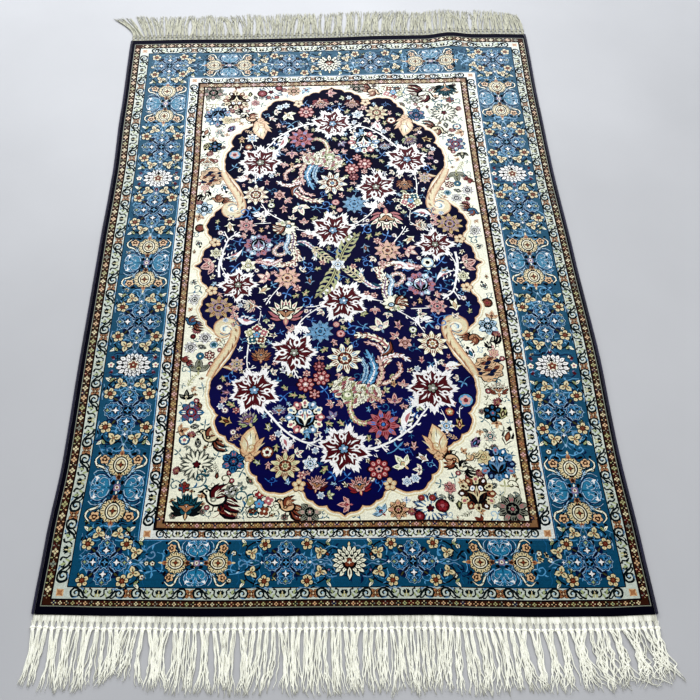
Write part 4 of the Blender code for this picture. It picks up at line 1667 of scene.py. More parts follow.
# One half of the cream corners, left and right of the field; the rest is this turned.
SPANDREL_LEFT = """
motif      x     y    size  turn petal  ring     heart
rosette8  -273  -354  22     0   cobalt red      cream
rosette6  -190  -452  21     0   cobalt marine   rose
thistle   -256  -458  33     0   grey   pine     burgundy
palmette  -266  -536  27     0   teal   pine     apricot
loops6    -274  -501  10     0   red    rust     red
curl      -288  -500  14    90   teal   cobalt   teal
bird      -232  -402  21     0   straw  rust     ink
disc      -282  -410  10     0   cream  cobalt   rose
bird      -212  -520  26     0   cream  burgundy grey
scales    -190  -508  12     0   grey   white    ink
bouquet   -140  -532  27     0   cream  rose     azure
bird       -88  -536  19     0   peach  rust     brown
rosette8   -52  -548  19     0   grey   ink      pink
curl      -172  -522  16    60   teal   cobalt   teal
lily      -285  -318  14     0   ink    grey     straw
lily      -266  -254  21     0   grey   moss     olive
rosette6  -258  -190  13     0   white  ink      grey
rosette6  -285  -212  13    20   white  ink      grey
loops6    -247  -230  10     0   cream  red      rust
disc      -265  -232   8     0   teal   cobalt   cream
disc      -240  -206   8     0   teal   ice      teal
rosette6  -285   -98  14     0   white  grey     ink
bird      -285  -152  15     0   cobalt rust     brown
bud       -290   -55  12   -70   cream  teal     rust
curl      -284   -72  12     0   teal   cobalt   teal
disc      -282  -187   6     0   burgundy brown  red
bird      -292  -241  10     0   rust   red      brown
curl      -290  -264  11    90   teal   ice      teal
curl      -250  -488  17     0   teal   cobalt   teal
sprig     -205  -424  11   -30   teal   cobalt   teal
sprig     -175  -474  12   200   teal   cobalt   teal
sprig     -220  -440  10    20   teal   ice      teal
sprig     -246  -378  11    40   teal   cobalt   teal
sprig     -292  -434  10    90   teal   cobalt   teal
bud       -158  -490  11    40   grey   moss     rose
bud       -150  -545   9    90   rust   brown    straw
sprig     -255  -300  12    60   teal   ice      teal
sprig     -205  -545  10    10   rust   brown    teal
bud       -258  -340   9    30   rust   moss     gold
feather   -276  -285  16    60   olive  grey     grey
bud       -240  -470  10    30   cream  teal     teal
bud       -218  -480   7     0   brown  rust     rose
curl       -28  -552   9     0   teal   cobalt   teal
"""
SPANDREL_RIGHT = """
motif      x     y    size  turn petal  ring     heart
scales     286  -266  28     0   peach  marine   rust
palmette   300  -310  18     0   cream  rust     brown
loops6     284  -360  17     0   cobalt ink      rose
bud        302  -362  15   -20   olive  brown    straw
rosette6   274  -407  12     0   cream  teal     rose
bud        305  -408  21   -20   cream  rust     apricot
wreath     280  -460  31     0   steel  marine   cobalt
rosette6   257  -447  14    20   straw  gold     olive
bird       198  -452  20   160   peach  rust     brown
bird       220  -466  14     0   cream  ink      straw
wreath     238  -515  31     0   straw  rust     brown
rosette6   192  -505  11     0   pink   red      rose
thistle    155  -543  31     0   steel  marine   burgundy
disc       176  -538  12     0   red    burgundy rose
disc       136  -557   9     0   red    burgundy rose
disc       141  -524   6     0   red    rust     rose
disc       160  -524   6     0   red    rust     rose
rosette10  295  -543  26     0   grey   ink      rose
lily        68  -545  15    40   ice    teal     red
rosette8   100  -545  17     0   peach  brown    rose
lily       115  -527   8     0   white  cobalt   azure
bud        245  -420  15   -40   mauve  marine   azure
rosette6   297  -170  19     0   ice    pine     white
bud        303   -74  13    20   cream  teal     rust
curl       307   -97   9     0   teal   cobalt   teal
disc       303  -115  11     0   rust   brown    red
bird       298  -213  14    90   cream  ink      rose
bird       264  -198  16   200   apricot rust    brown
bud        256  -232  16    20   white  teal     cobalt
rosette6   300  -232  10     0   pink   peach    rose
curl       302  -500  12    90   moss   brown    teal
sprig      288  -500  12    40   olive  sage     teal
lily       200  -562  10     0   cream  rust     brown
lily       236  -562  10    60   rust   burgundy red
sprig      175  -498  11   120   teal   ice      teal
sprig      200  -485  10    60   teal   cobalt   teal
curl       260  -555  11     0   ice    teal     teal
curl        26  -556  10    90   teal   cobalt   teal
bud        205  -535  10   180   moss   olive    olive
sprig      265  -372  10   100   teal   ice      teal
bird       235  -447  10    60   peach  straw    apricot
sprig      300  -395  10    40   grey   moss     teal
sprig      300  -290  10   200   teal   cobalt   teal
"""


# What the small leaves keep clear of beside the scroll of the outline: across, along.
STALK_ROOM = ((214, 190), (222, 215), (234, 240), (246, 262))


def draw_half_spandrels(sketch, outline):
    """The cream corners at the near end: small leaves, then the flowers and birds."""
    motifs = read_motifs(SPANDREL_LEFT) + read_motifs(SPANDREL_RIGHT)
    left, near, right, _ = BANDS["field"]
    cx, cy = FIELD_CENTRE
    taken = [(x, y, size * 0.82) for _, x, y, size, *_ in motifs]
    taken += [(*opposite(x, y), room) for x, y, room in taken]
    for side in (-1, 1):
        taken.append((cx + side * VOLUTE_PLACE[0], cy - VOLUTE_PLACE[1], 14))
        taken += [(cx + side * across, cy - along, 9) for across, along in STALK_ROOM]

    def inside(x, y, size):
        return (y < cy and left + size < x < right - size and y > near + size
                and near_outline(outline, x, y) > size + 12 and not in_ring(outline, x, y))

    taken = scatter(sketch, taken, inside, 29, 10.0, SPANDREL_LEAVES)
    scatter(sketch, taken, inside, 23, 7.5, SPANDREL_FILLERS)
    for row in motifs:
        place_motif(sketch, *row)


def draw_pinwheel(sketch):
    """Long feathered leaves that turn about the middle."""
    x, y = FIELD_CENTRE
    for turn, size, colour, flip in ((62, 47, "olive", False), (242, 47, "olive", False),
                                     (-42, 33, "straw", True), (138, 33, "straw", True)):
        place_motif(sketch, "frond", *polar(size + 5, turn, x, y), size, turn,
                    colour, "moss", "sage", flip)
    place_motif(sketch, "rosette6", x, y, 15, 0, "white", "ice", "grey")


def turned(half):
    """The same shapes turned half a turn about the field's centre."""
    return [(colour, [opposite(x, y) for x, y in points]) for colour, points in half.shapes]


def draw_ground(sketch):
    """Grounds without their flowers, as they show on the back."""
    sketch.fill("cream", rectangle(*inset("field", -0.6)))
    sketch.fill("navy", field_outline())
    draw_grounds(sketch)


def draw_pattern(sketch):
    """The whole face of the rug, from the grounds up."""
    spandrels, field = Sketch(), Sketch()
    outline = field_outline()
    draw_half_spandrels(spandrels, outline)
    draw_half_field(field, outline)
    sketch.fill("cream", rectangle(*inset("field", -0.6)))
    sketch.shapes += spandrels.shapes + turned(spandrels)
    draw_field_ground(sketch)
    sketch.shapes += field.shapes + turned(field)
    draw_pinwheel(sketch)
    draw_bands(sketch)
    left, near, right, far = inset("main border", 6)
    in_left, in_near, in_right, in_far = inset("inner scrolls", -8)

    def inside(x, y, size):
        return (left + size < x < right - size and near + size < y < far - size
                and not (in_left - size < x < in_right + size and in_near - size < y < in_far + size))

    taken = scatter(sketch, [], inside, 37, 15.0, BORDER_LEAVES)
    scatter(sketch, taken, inside, 31, 9.0, BORDER_FILLERS)
    draw_main_border(sketch)


# ================================================================ the rug's shape in space
# These repeat the CAD source's sizes, so that each piece lies where its solid does.
WIDTH = 1.000
LENGTH = 1.440
PILE_TOP = 0.0042
BACKING_TOP = 0.0031
BINDING = 0.0050
PART_GAP = 0.0003
FRINGE_INSET = 0.004
TASSELS = 96
LEG_SHARE = 0.48

# y, and how far the left and the right side stand out there.
SIDE_BOWS = np.array((
    (-0.72, 0.004, 0.004), (-0.60, 0.002, 0.003), (-0.45, -0.004, 0.000), (-0.22, -0.002, 0.004),
    (0.00, -0.002, 0.000), (0.25, -0.003, -0.004), (0.45, 0.003, -0.002), (0.72, 0.009, 0.004),
))
# x, and how far the near and the far end stand out there.
END_BOWS = np.array((
    (-0.50, 0.001, 0.003), (-0.36, 0.003, 0.004), (-0.22, 0.004, 0.002), (0.00, 0.002, 0.003),
    (0.14, 0.001, 0.007), (0.24, 0.003, 0.007), (0.31, 0.004, 0.010), (0.42, 0.003, 0.007),
    (0.50, 0.000, 0.004),
))
# Places where the sheet stands off the floor: x, y, height, half width, half length.
RIPPLES = (
    (0.310, 0.720, 0.0055, 0.060, 0.120),
    (-0.500, 0.080, 0.0020, 0.045, 0.090),
    (0.500, -0.260, 0.0018, 0.045, 0.110),
)


def read_table(rows, place, column):
    """Smoothly interpolate one column at one place or at many."""
    place = np.clip(place, rows[0, 0], rows[-1, 0])
    high = np.clip(np.searchsorted(rows[:, 0], place), 1, len(rows) - 1)
    low = high - 1
    share = (place - rows[low, 0]) / (rows[high, 0] - rows[low, 0])
    ease = share * share * (3 - 2 * share)
    return rows[low, column] + (rows[high, column] - rows[low, column]) * ease


def side_edge(side, y):
    """x of the left (-1) or right (1) side of the knotted sheet."""
    return side * (WIDTH / 2 + read_table(SIDE_BOWS, y, 1 if side < 0 else 2))


def end_edge(end, x):
    """y of the near (-1) or far (1) end of the knotted sheet."""
    return end * (LENGTH / 2 + read_table(END_BOWS, x, 1 if end < 0 else 2))


def floor_lift(x, y):
    """How high the ripples raise the rug off the floor."""
    lift = np.zeros_like(x + y)
    for centre_x, centre_y, height, half_width, half_length in RIPPLES:
        across = np.minimum(np.abs(x - centre_x) / half_width, 1)
        along = np.minimum(np.abs(y - centre_y) / half_length, 1)
        bump = (1 + np.cos(np.pi * across)) * (1 + np.cos(np.pi * along)) / 4
        lift = np.maximum(lift, height * bump)
    return lift


def lay_on_rug(flat, height):
    """Pattern points in millimetres to places on the rug, at a height over its underside."""
    across, along = flat[:, 0] / 1000, flat[:, 1] / 1000
    left, right = side_edge(-1, along), side_edge(1, along)
    x = left + (right - left) * (across / WIDTH + 0.5)
    near, far = end_edge(-1, x), end_edge(1, x)
    y = near + (far - near) * (along / LENGTH + 0.5)
    return np.stack([x, y, floor_lift(x, y) + height], 1)


# ================================================================ mosaic
KNOT = 0.8               # mm, outlines keep to this grid, as the knots of a fine rug do
LONGEST_EDGE = 16        # mm, so that straight lines follow the bent outline
SEAM_SLACK = 0.34        # mm, by which a seam may leave the drawn line
GRID = 16                # mm, between the loose points that carry the ripples
SHEET_HALF = (494.4, 720.0)
GRID_SHIFT = 0.3         # mm, so that the loose points keep off the knots' grid
THINNINGS = 4            # how often the seams are thinned
MERGE = 1e-5             # mm, points nearer than this are one


def paint(points, outlines):
    """The number of the topmost outline over each point, by its winding round the point."""
    order = np.argsort(points[:, 0])
    x, y = points[order].T
    top = np.zeros(len(points), int)
    for index, ring in enumerate(outlines):
        low, high = ring.min(0), ring.max(0)
        first, last = np.searchsorted(x, (low[0], high[0]))
        chosen = first + np.flatnonzero((y[first:last] > low[1]) & (y[first:last] < high[1]))
        px, py = x[chosen], y[chosen]
        turns = np.zeros(len(chosen), int)
        for (x0, y0), (x1, y1) in zip(ring, np.roll(ring, -1, 0)):
            if y0 != y1:
                left_of = (x1 - x0) * (py - y0) > (px - x0) * (y1 - y0)
                if y1 > y0:
                    turns += (y0 <= py) & (py < y1) & left_of
                else:
                    turns -= (y1 <= py) & (py < y0) & ~left_of
        top[chosen[turns != 0]] = index
    numbers = np.empty_like(top)
    numbers[order] = top
    return numbers


def triangulate(places, lines):
    """A net of triangles that keeps to the lines: its points and its triangles' corners."""
    flat, _, triangles, *_ = delaunay_2d_cdt(places, lines, [], 0, MERGE, False)
    return np.array([(place.x, place.y) for place in flat]), np.array(triangles)


def edges_of(triangles):
    """The three directed edges of every triangle, first sides first."""
    return np.concatenate([triangles[:, (0, 1)], triangles[:, (1, 2)], triangles[:, (2, 0)]])


def middles_of(flat, triangles):
    """A place inside each triangle, a little off its centre so that it lies on no grid line."""
    return np.einsum("tcd,c->td", flat[triangles], (0.35, 0.33, 0.32))


def thin_out(flat, seams):
    """Drop places where a seam runs all but straight on, never two neighbours at once."""
    ends = np.concatenate([seams, seams[:, ::-1]])
    ends = ends[np.argsort(ends[:, 0], kind="stable")]
    count = np.bincount(ends[:, 0], minlength=len(flat))
    first = np.minimum(np.cumsum(count) - count, len(ends) - 2)
    before, after = ends[first, 1], ends[first + 1, 1]
    span, reach = flat[after] - flat[before], flat - flat[before]
    length = np.hypot(*span.T)
    bulge = np.abs(span[:, 0] * reach[:, 1] - span[:, 1] * reach[:, 0]) / np.maximum(length, 0.1)
    plain = (count == 2) & (before != after) & (bulge < SEAM_SLACK) & (length < LONGEST_EDGE)
    rank = np.where(plain, bulge + np.random.default_rng(7).random(len(flat)) * 1e-3, np.inf)
    plain &= (rank < rank[before]) & (rank < rank[after])
    kept = seams[~plain[seams].any(1)]
    return np.concatenate([kept, np.stack([before[plain], after[plain]], 1)])


def gather_lines(sketch):
    """All outlines on the knots' grid: the places used, and the pairs of places that they join."""
    numbers, places, lines = {}, [], []

    def number(x, y):
        key = (round(x / KNOT), round(y / KNOT))
        if key not in numbers:
            numbers[key] = len(places)
            places.append(Vector((key[0] * KNOT, key[1] * KNOT)))
        return numbers[key]

    for _, points in sketch.shapes:
        for (x0, y0), (x1, y1) in zip(points, points[1:] + points[:1]):
            parts = max(1, math.ceil(math.hypot(x1 - x0, y1 - y0) / LONGEST_EDGE))
            stops = [number(x0 + (x1 - x0) * part / parts, y0 + (y1 - y0) * part / parts)
                     for part in range(parts + 1)]
            lines += [pair for pair in zip(stops, stops[1:]) if pair[0] != pair[1]]
    return places, lines


def find_seams(triangles, tints):
    """The edges where two dyes meet and those of the sheet's rim, each of them once."""
    edges = np.sort(edges_of(triangles), 1)
    sides = np.tile(tints, 3)
    order = np.lexsort((edges[:, 1], edges[:, 0]))
    edges, sides = edges[order], sides[order]
    paired = np.append((edges[1:] == edges[:-1]).all(1), False)
    alike = np.append(sides[1:] == sides[:-1], False) & paired
    hidden = alike | np.insert(alike[:-1], 0, False)
    second = np.insert(paired[:-1], 0, False)
    return edges[~hidden & ~second]


def loose_points():
    """Evenly spread points that let wide grounds follow the ripples."""
    half_x, half_y = SHEET_HALF
    return [Vector((column * GRID - half_x + GRID_SHIFT, row * GRID - half_y + GRID_SHIFT))
            for column in range(1, int(2 * half_x / GRID))
            for row in range(1, int(2 * half_y / GRID))]


def to_linear(shown):
    """Colours from 0 to 1 as a screen shows them, to amounts of light."""
    return np.where(shown > 0.04045, ((shown + 0.055) / 1.055) ** 2.4, shown / 12.92)


def cut_mosaic(sketch):
    """Cut overlapping outlines into triangles: points, corners and the topmost dye of each."""
    outlines = [np.array(points) for _, points in sketch.shapes]
    dyes = np.array([PALETTE[colour] for colour, _ in sketch.shapes], float)
    tints = np.unique(dyes, axis=0, return_inverse=True)[1].ravel()
    flat, triangles = triangulate(*gather_lines(sketch))
    seams = find_seams(triangles, tints[paint(middles_of(flat, triangles), outlines)])
    for _ in range(THINNINGS):
        seams = thin_out(flat, seams)
    used, seams = np.unique(seams, return_inverse=True)
    places = [Vector(place) for place in flat[used]] + loose_points()
    flat, triangles = triangulate(places, seams.reshape(-1, 2).tolist())
    return flat, triangles, to_linear(dyes[paint(middles_of(flat, triangles), outlines)] / 255)


def border_edges(triangles):
    """The directed edges that only one triangle has, and that triangle's number."""
    edges = edges_of(triangles)
    owners = np.tile(np.arange(len(triangles)), 3)
    size = int(triangles.max()) + 1
    there = edges[:, 0] * size + edges[:, 1]
    back = edges[:, 1] * size + edges[:, 0]
    single = ~np.isin(there, back)
    return edges[single], owners[single]


def build_mesh(name, places, faces, colours, maps):
    """A mesh of triangles and its dye colours; maps gives each vertex a place on the bake's map."""
    mesh = bpy.data.meshes.new(name)
    mesh.from_pydata(places.tolist(), [], faces.tolist())
    corner = faces.ravel()
    dye = mesh.color_attributes.new("dye", 'BYTE_COLOR', 'CORNER')
    opaque = np.concatenate([np.repeat(colours, 3, 0), np.ones((len(corner), 1))], 1)
    dye.data.foreach_set("color", opaque.astype(np.float32).ravel())
    layer = mesh.uv_layers.new(name="OFBake", do_init=False)
    layer.uv.foreach_set("vector", maps[corner].astype(np.float32).ravel())
    mesh.update()
    return mesh


EDGE_DROP = 0.0011       # m, by which the pile is lower at the rug's edges
EDGE_SOFTNESS = 1.5      # mm, over which it comes up from there
UNEVENNESS = 0.00012     # m
WALL_OVERLAP = 0.0004    # m, by which the pile's wall goes down into the backing
ON_EDGE = 0.5            # mm, a point this near to the rug's edge lies on it
WALL_ON_MAP = 1.012      # how far outside the face its wall lies on the baked map


def pile_height(flat):
    """Rounded off over the last millimetres before the rug's edges, and slightly uneven."""
    to_edge = np.minimum(SHEET_HALF[0] - abs(flat[:, 0]), SHEET_HALF[1] - abs(flat[:, 1]))
    x, y = flat[:, 0] / 1000, flat[:, 1] / 1000
    waves = np.sin(23 * x + 9 * y) * np.sin(31 * y - 12 * x) + 0.6 * np.sin(47 * y + 3 * x)
    return PILE_TOP - EDGE_DROP * np.exp(-to_edge / EDGE_SOFTNESS) - UNEVENNESS * (1 - waves)


def make_pile(name, flat, triangles, colours, material):
    """Lay a part of the mosaic on the rug, with a wall down to the backing at the rug's edge."""
    used, corners = np.unique(triangles, return_inverse=True)
    triangles = corners.reshape(-1, 3)
    flat = flat[used]
    top = lay_on_rug(flat, pile_height(flat))
    edges, owners = border_edges(triangles)
    to_side, to_end = SHEET_HALF[0] - abs(flat[:, 0]), SHEET_HALF[1] - abs(flat[:, 1])
    outer = (to_side < ON_EDGE) | (to_end < ON_EDGE)
    keep = outer[edges].all(1)
    edges, owners = edges[keep], owners[keep]
    rim, rim_corners = np.unique(edges, return_inverse=True)
    low, high = flat.min(0), flat.max(0)
    maps = 0.01 + 0.98 * (flat - low) / (high - low)
    places = top
    if len(rim):
        wall = lay_on_rug(flat[rim], BACKING_TOP - WALL_OVERLAP)
        a, b = edges.T
        c, d = (rim_corners.reshape(-1, 2) + len(flat)).T
        triangles = np.concatenate([triangles, np.stack([b, a, c], 1), np.stack([b, c, d], 1)])
        colours = np.concatenate([colours, colours[owners], colours[owners]])
        places = np.concatenate([top, wall])
        maps = np.concatenate([maps, 0.5 + (maps[rim] - 0.5) * WALL_ON_MAP])
    mesh = build_mesh(name, places, triangles, colours, maps)
    mesh.materials.append(material)
    return add_object(name, mesh)


def make_backing(flat, triangles, colours, material):
    """The knotted foundation: a thin closed slab that shows the pattern's bands underneath."""
    edges, owners = border_edges(triangles)
    count = len(flat)
    places = np.concatenate([lay_on_rug(flat, BACKING_TOP), lay_on_rug(flat, 0.0)])
    a, b = edges.T
    faces = np.concatenate([triangles, triangles[:, ::-1] + count,
                            np.stack([b, a, a + count], 1), np.stack([b, a + count, b + count], 1)])
    colours = np.concatenate([colours, colours, colours[owners], colours[owners]])
    # Top and underside lie side by side on the baked map.
    half = (flat / np.array(SHEET_HALF) + 1) / 2
    maps = np.concatenate([half * (0.48, 0.98) + (0.01, 0.01), half * (0.48, 0.98) + (0.51, 0.01)])
    mesh = build_mesh("rug_backing", places, faces, colours, maps)
    mesh.materials.append(material)
    return add_object("rug_backing", mesh)


# ================================================================ threads
def sweep(rings, faces, places):
    """Skin a row of rings, each a list of points in space, as one closed tube."""
    start = len(places)
    sides = len(rings[0])
    for ring in rings:
        places.extend(ring)
    for row in range(len(rings) - 1):
        here, there = start + row * sides, start + (row + 1) * sides
        for side in range(sides):
            after = (side + 1) % sides
            faces.append((here + side, here + after, there + after, there + side))
    faces.append(tuple(range(start, start + sides))[::-1])
    last = start + (len(rings) - 1) * sides
    faces.append(tuple(range(last, last + sides)))


def plain_mesh(name, places, faces, material):
    """An object of one material with smooth shading."""
    mesh = bpy.data.meshes.new(name)
    mesh.from_pydata(places, [], faces)
    mesh.polygons.foreach_set("use_smooth", [True] * len(faces))
    mesh.materials.append(material)
    mesh.update()
    return add_object(name, mesh)


WRAP_PITCH = 0.0023      # from one turn of the thread to the next
WRAP_RINGS = 3           # rings of points in one turn
WRAP_SIDES = 10
WRAP_GROOVE = 0.86       # how far the cord narrows between turns
WRAP_SLANT = 0.0008      # how far a turn leans along the rug
WRAP_TAPER = 0.004       # over which the cord narrows at its ends


def make_binding(name, side, material):
    """A side cord with a thread wound round it, turn by turn."""
    inside = BINDING + 2 * PART_GAP
    count = int(LENGTH / WRAP_PITCH) * WRAP_RINGS
    rng = random.Random(29 + side)
    rings = []
    for step in range(count + 1):
        share = step / count
        if step % WRAP_RINGS == 0:
            plump = rng.uniform(0.94, 1.03)
        groove = WRAP_GROOVE if step % WRAP_RINGS == 0 else 1.0
        even = (share - 0.5) * LENGTH
        x_edge = float(side_edge(side, even))
        near, far = float(end_edge(-1, x_edge)), float(end_edge(1, x_edge))
        y = near + (far - near) * share
        lift = float(floor_lift(x_edge - side * inside, y))
        end_gap = min(share, 1 - share) * LENGTH
        radius = BINDING / 2 * groove * plump * min(1.0, 0.55 + end_gap / WRAP_TAPER)
        ring = []
        for corner in range(WRAP_SIDES):
            angle = 2 * math.pi * corner / WRAP_SIDES
            slant = WRAP_SLANT * math.cos(angle) * min(1.0, end_gap / WRAP_TAPER)
            ring.append((x_edge - side * BINDING / 2 + radius * math.cos(angle),
                         y + slant,
                         lift + BINDING / 2 + radius * math.sin(angle)))
        rings.append(ring[::-1])
    places, faces = [], []
    sweep(rings, faces, places)
    return plain_mesh(name, places, faces, material)


# ---------------------------------------------------------------- fringes
# The strip, net and knot columns are lengths away from the rug, as in the CAD source.
FRINGES = {
    "fringe_near": dict(end=-1, strip=0.0105, net=0.0085, knot=0.0040, seed=41),
    "fringe_far": dict(end=1, strip=0.0050, net=0.0080, knot=0.0035, seed=43),
}
# Place along the fringe from 0 to 1, sideways lean at the tip, length, looseness of the yarns.
LIE = {
    "fringe_near": np.array((
        (0.00, -0.006, 0.090, 0.9), (0.09, -0.004, 0.100, 0.9), (0.12, 0.002, 0.086, 1.1),
        (0.15, 0.000, 0.068, 1.3), (0.19, 0.002, 0.094, 1.0), (0.50, 0.000, 0.100, 1.0),
        (0.80, 0.008, 0.096, 1.2), (0.92, 0.010, 0.088, 2.2), (1.00, 0.015, 0.078, 2.6))),
    "fringe_far": np.array((
        (0.00, -0.052, 0.082, 0.7), (0.04, -0.022, 0.088, 0.8), (0.10, -0.008, 0.084, 0.9),
        (0.50, 0.004, 0.092, 0.9), (0.88, 0.010, 0.086, 0.9), (0.96, 0.002, 0.080, 0.8),
        (1.00, -0.022, 0.074, 0.5))),
}
YARNS = 6                # yarns in one tassel
YARN_RADIUS = 0.00106
YARN_STEPS = 19
YARN_SIDES = 4
STRIP_COLUMNS = 6        # per tassel
STRIP_ROWS = 10
STRIP_LOW = 0.0002       # the strip's underside, and its gap to the rug
STRIP_SIDE = 0.0007      # how high the strip's edges are, before its rounded middle
STRIP_ROUND = 0.0011
WEAVE_RISE = 0.00013
LEG_YARNS = 4            # yarns from the strip to one knot
LEG_STEPS = 4
LEG_RADIUS = 0.00088
KNOT_ROWS = 9
KNOT_SIDES = 12
LOOP_STEPS = 8           # of the loop laid round a knot
LOOP_RADIUS = 0.0006
THREAD_SIDES = 6         # of a leg and of a loop
LIFT_REACH = 0.045       # how far from the rug its lifted edge still raises the cotton
TUCK = 0.0008            # how far a thread starts inside what holds it
YARN_BASE = 0.0012       # height of a yarn's middle where it lies on the floor
YARN_PILING = 0.0026     # how much higher the topmost yarn of a tassel starts
TIP_START = 0.75         # share of a yarn's length where its tip begins to narrow
TIP_NARROWS = 0.62
KNOT_HEIGHT = 0.0017     # of a knot's middle over the floor
KNOT_HALF_HEIGHT = 0.00165


class Fringe:
    """One end's cotton: the woven strip, the legs of the net, the knots and the loose yarns."""

    def __init__(self, name):
        sizes = FRINGES[name]
        self.end = sizes["end"]
        self.net_start = sizes["strip"]
        self.knot_start = self.net_start + sizes["net"]
        self.strand_start = self.knot_start + sizes["knot"]
        self.lie = LIE[name]
        self.rng = random.Random(sizes["seed"])
        self.left = float(side_edge(-1, self.end * LENGTH / 2)) + FRINGE_INSET
        self.right = float(side_edge(1, self.end * LENGTH / 2)) - FRINGE_INSET
        self.pitch = (self.right - self.left) / (TASSELS - 1 + LEG_SHARE)
        self.roots = [self.left + self.pitch * (LEG_SHARE / 2 + index) for index in range(TASSELS)]
        self.places, self.faces = [], []

    def point(self, x, away, height):
        """A place at a distance from the rug's edge, over the floor or the lifted edge."""
        edge = float(end_edge(self.end, x)) + self.end * PART_GAP
        drop = max(0.0, 1 - away / LIFT_REACH)
        lift = float(floor_lift(x, edge)) * drop * drop
        return x, edge + self.end * away, lift + height

    def add_tube(self, path, radii, sides):
        """A thread along a path; its ends narrow as the radii say."""
        rings = []
        last = len(path) - 1
        for index, place in enumerate(path):
            ahead = Vector(path[min(index + 1, last)])
            behind = Vector(path[max(index - 1, 0)])
            forward = (ahead - behind).normalized()
            across = forward.cross(Vector((0, 0, 1))).normalized()
            up = across.cross(forward)
            ring = []
            for side in range(sides):
                angle = 2 * math.pi * side / sides
                ring.append(tuple(Vector(place) + across * (radii[index] * math.cos(angle))
                                  + up * (radii[index] * math.sin(angle))))
            rings.append(ring)
        sweep(rings, self.faces, self.places)

    def add_strip(self):
        """Plain weave: each crossing of warp and weft stands up or down."""
        columns, rows = TASSELS * STRIP_COLUMNS, STRIP_ROWS
        start = len(self.places)
        layers = []
        for under in (False, True):
            layer = []
            for row in range(rows + 1):
                away = STRIP_LOW + (self.net_start - STRIP_LOW) * row / rows
                round_off = math.sin(math.pi * min(1.0, (row + 0.6) / 2, (rows - row + 0.6) / 2) / 2)
                for column in range(columns + 1):
                    x = self.left + (self.right - self.left) * column / columns
                    weave = WEAVE_RISE * math.cos(math.pi * column) * math.cos(math.pi * row)
                    height = STRIP_LOW if under else STRIP_SIDE + STRIP_ROUND * round_off + weave
                    layer.append(self.point(x, away, height))
            layers.append(layer)
        for layer in layers:
            self.places.extend(layer)
        across = columns + 1
        size = across * (rows + 1)
        for row in range(rows):
            for column in range(columns):
                corner = start + row * across + column
                quad = (corner, corner + 1, corner + 1 + across, corner + across)
                under = tuple(index + size for index in quad)
                self.faces.append(quad if self.end > 0 else quad[::-1])
                self.faces.append(under[::-1] if self.end > 0 else under)
        rim = [start + column for column in range(columns)]
        rim += [start + columns + row * across for row in range(rows)]
        rim += [start + rows * across + columns - column for column in range(columns)]
        rim += [start + (rows - row) * across for row in range(rows)]
        for here, there in zip(rim, rim[1:] + rim[:1]):
            quad = (here, here + size, there + size, there)
            self.faces.append(quad if self.end > 0 else quad[::-1])

    def add_legs(self, root):
        """The yarns between strip and knot: they spread a little towards the strip."""
        rng = self.rng
        half = self.pitch * LEG_SHARE * 0.62
        for index in range(LEG_YARNS):
            share = index / (LEG_YARNS - 1) * 2 - 1
            path = []
            for step in range(LEG_STEPS + 1):
                along = step / LEG_STEPS
                away = self.net_start - TUCK + (self.knot_start - self.net_start + 0.0022) * along
                pinch = 1.15 - 0.5 * math.sin(math.pi * min(1.0, along * 1.05) / 2)
                height = 0.0009 + 0.0006 * (1 - share * share) + 0.0003 * math.sin(math.pi * along)
                path.append(self.point(root + half * share * pinch, away,
                                       height + rng.uniform(0, 0.0001)))
            self.add_tube(path, [LEG_RADIUS] * len(path), THREAD_SIDES)

    def add_knot(self, root):
        """A half hitch: a squat ball with a loop laid round it."""
        rng = self.rng
        length = self.strand_start - self.knot_start + 0.0030
        centre = (self.knot_start + self.strand_start) / 2 + rng.uniform(-0.0006, 0.0006)
        wide = self.pitch * 0.47
        rings = []
        for row in range(KNOT_ROWS):
            lower = math.pi * (row + 0.35) / (KNOT_ROWS - 0.3)
            ring = []
            for side in range(KNOT_SIDES):
                angle = 2 * math.pi * side / KNOT_SIDES
                ridge = 1 + 0.10 * math.cos(3 * angle + 2.4 * row + root * 900)
                x = root + wide * math.sin(lower) * math.cos(angle) * ridge
                height = KNOT_HEIGHT + KNOT_HALF_HEIGHT * math.sin(lower) * math.sin(angle) * ridge
                ring.append(self.point(x, centre - length / 2 * math.cos(lower), max(0.0001, height)))
            rings.append(ring if self.end < 0 else ring[::-1])
        sweep(rings, self.faces, self.places)
        loop = []
        tilt = rng.choice((-1, 1)) * rng.uniform(0.0008, 0.0014)
        for step in range(LOOP_STEPS + 1):
            angle = math.pi * step / LOOP_STEPS
            loop.append(self.point(root + wide * 1.02 * math.cos(angle),
                                   centre + tilt * math.cos(angle),
                                   0.0009 + 0.0024 * math.sin(angle)))
        self.add_tube(loop, [LOOP_RADIUS] * len(loop), THREAD_SIDES)

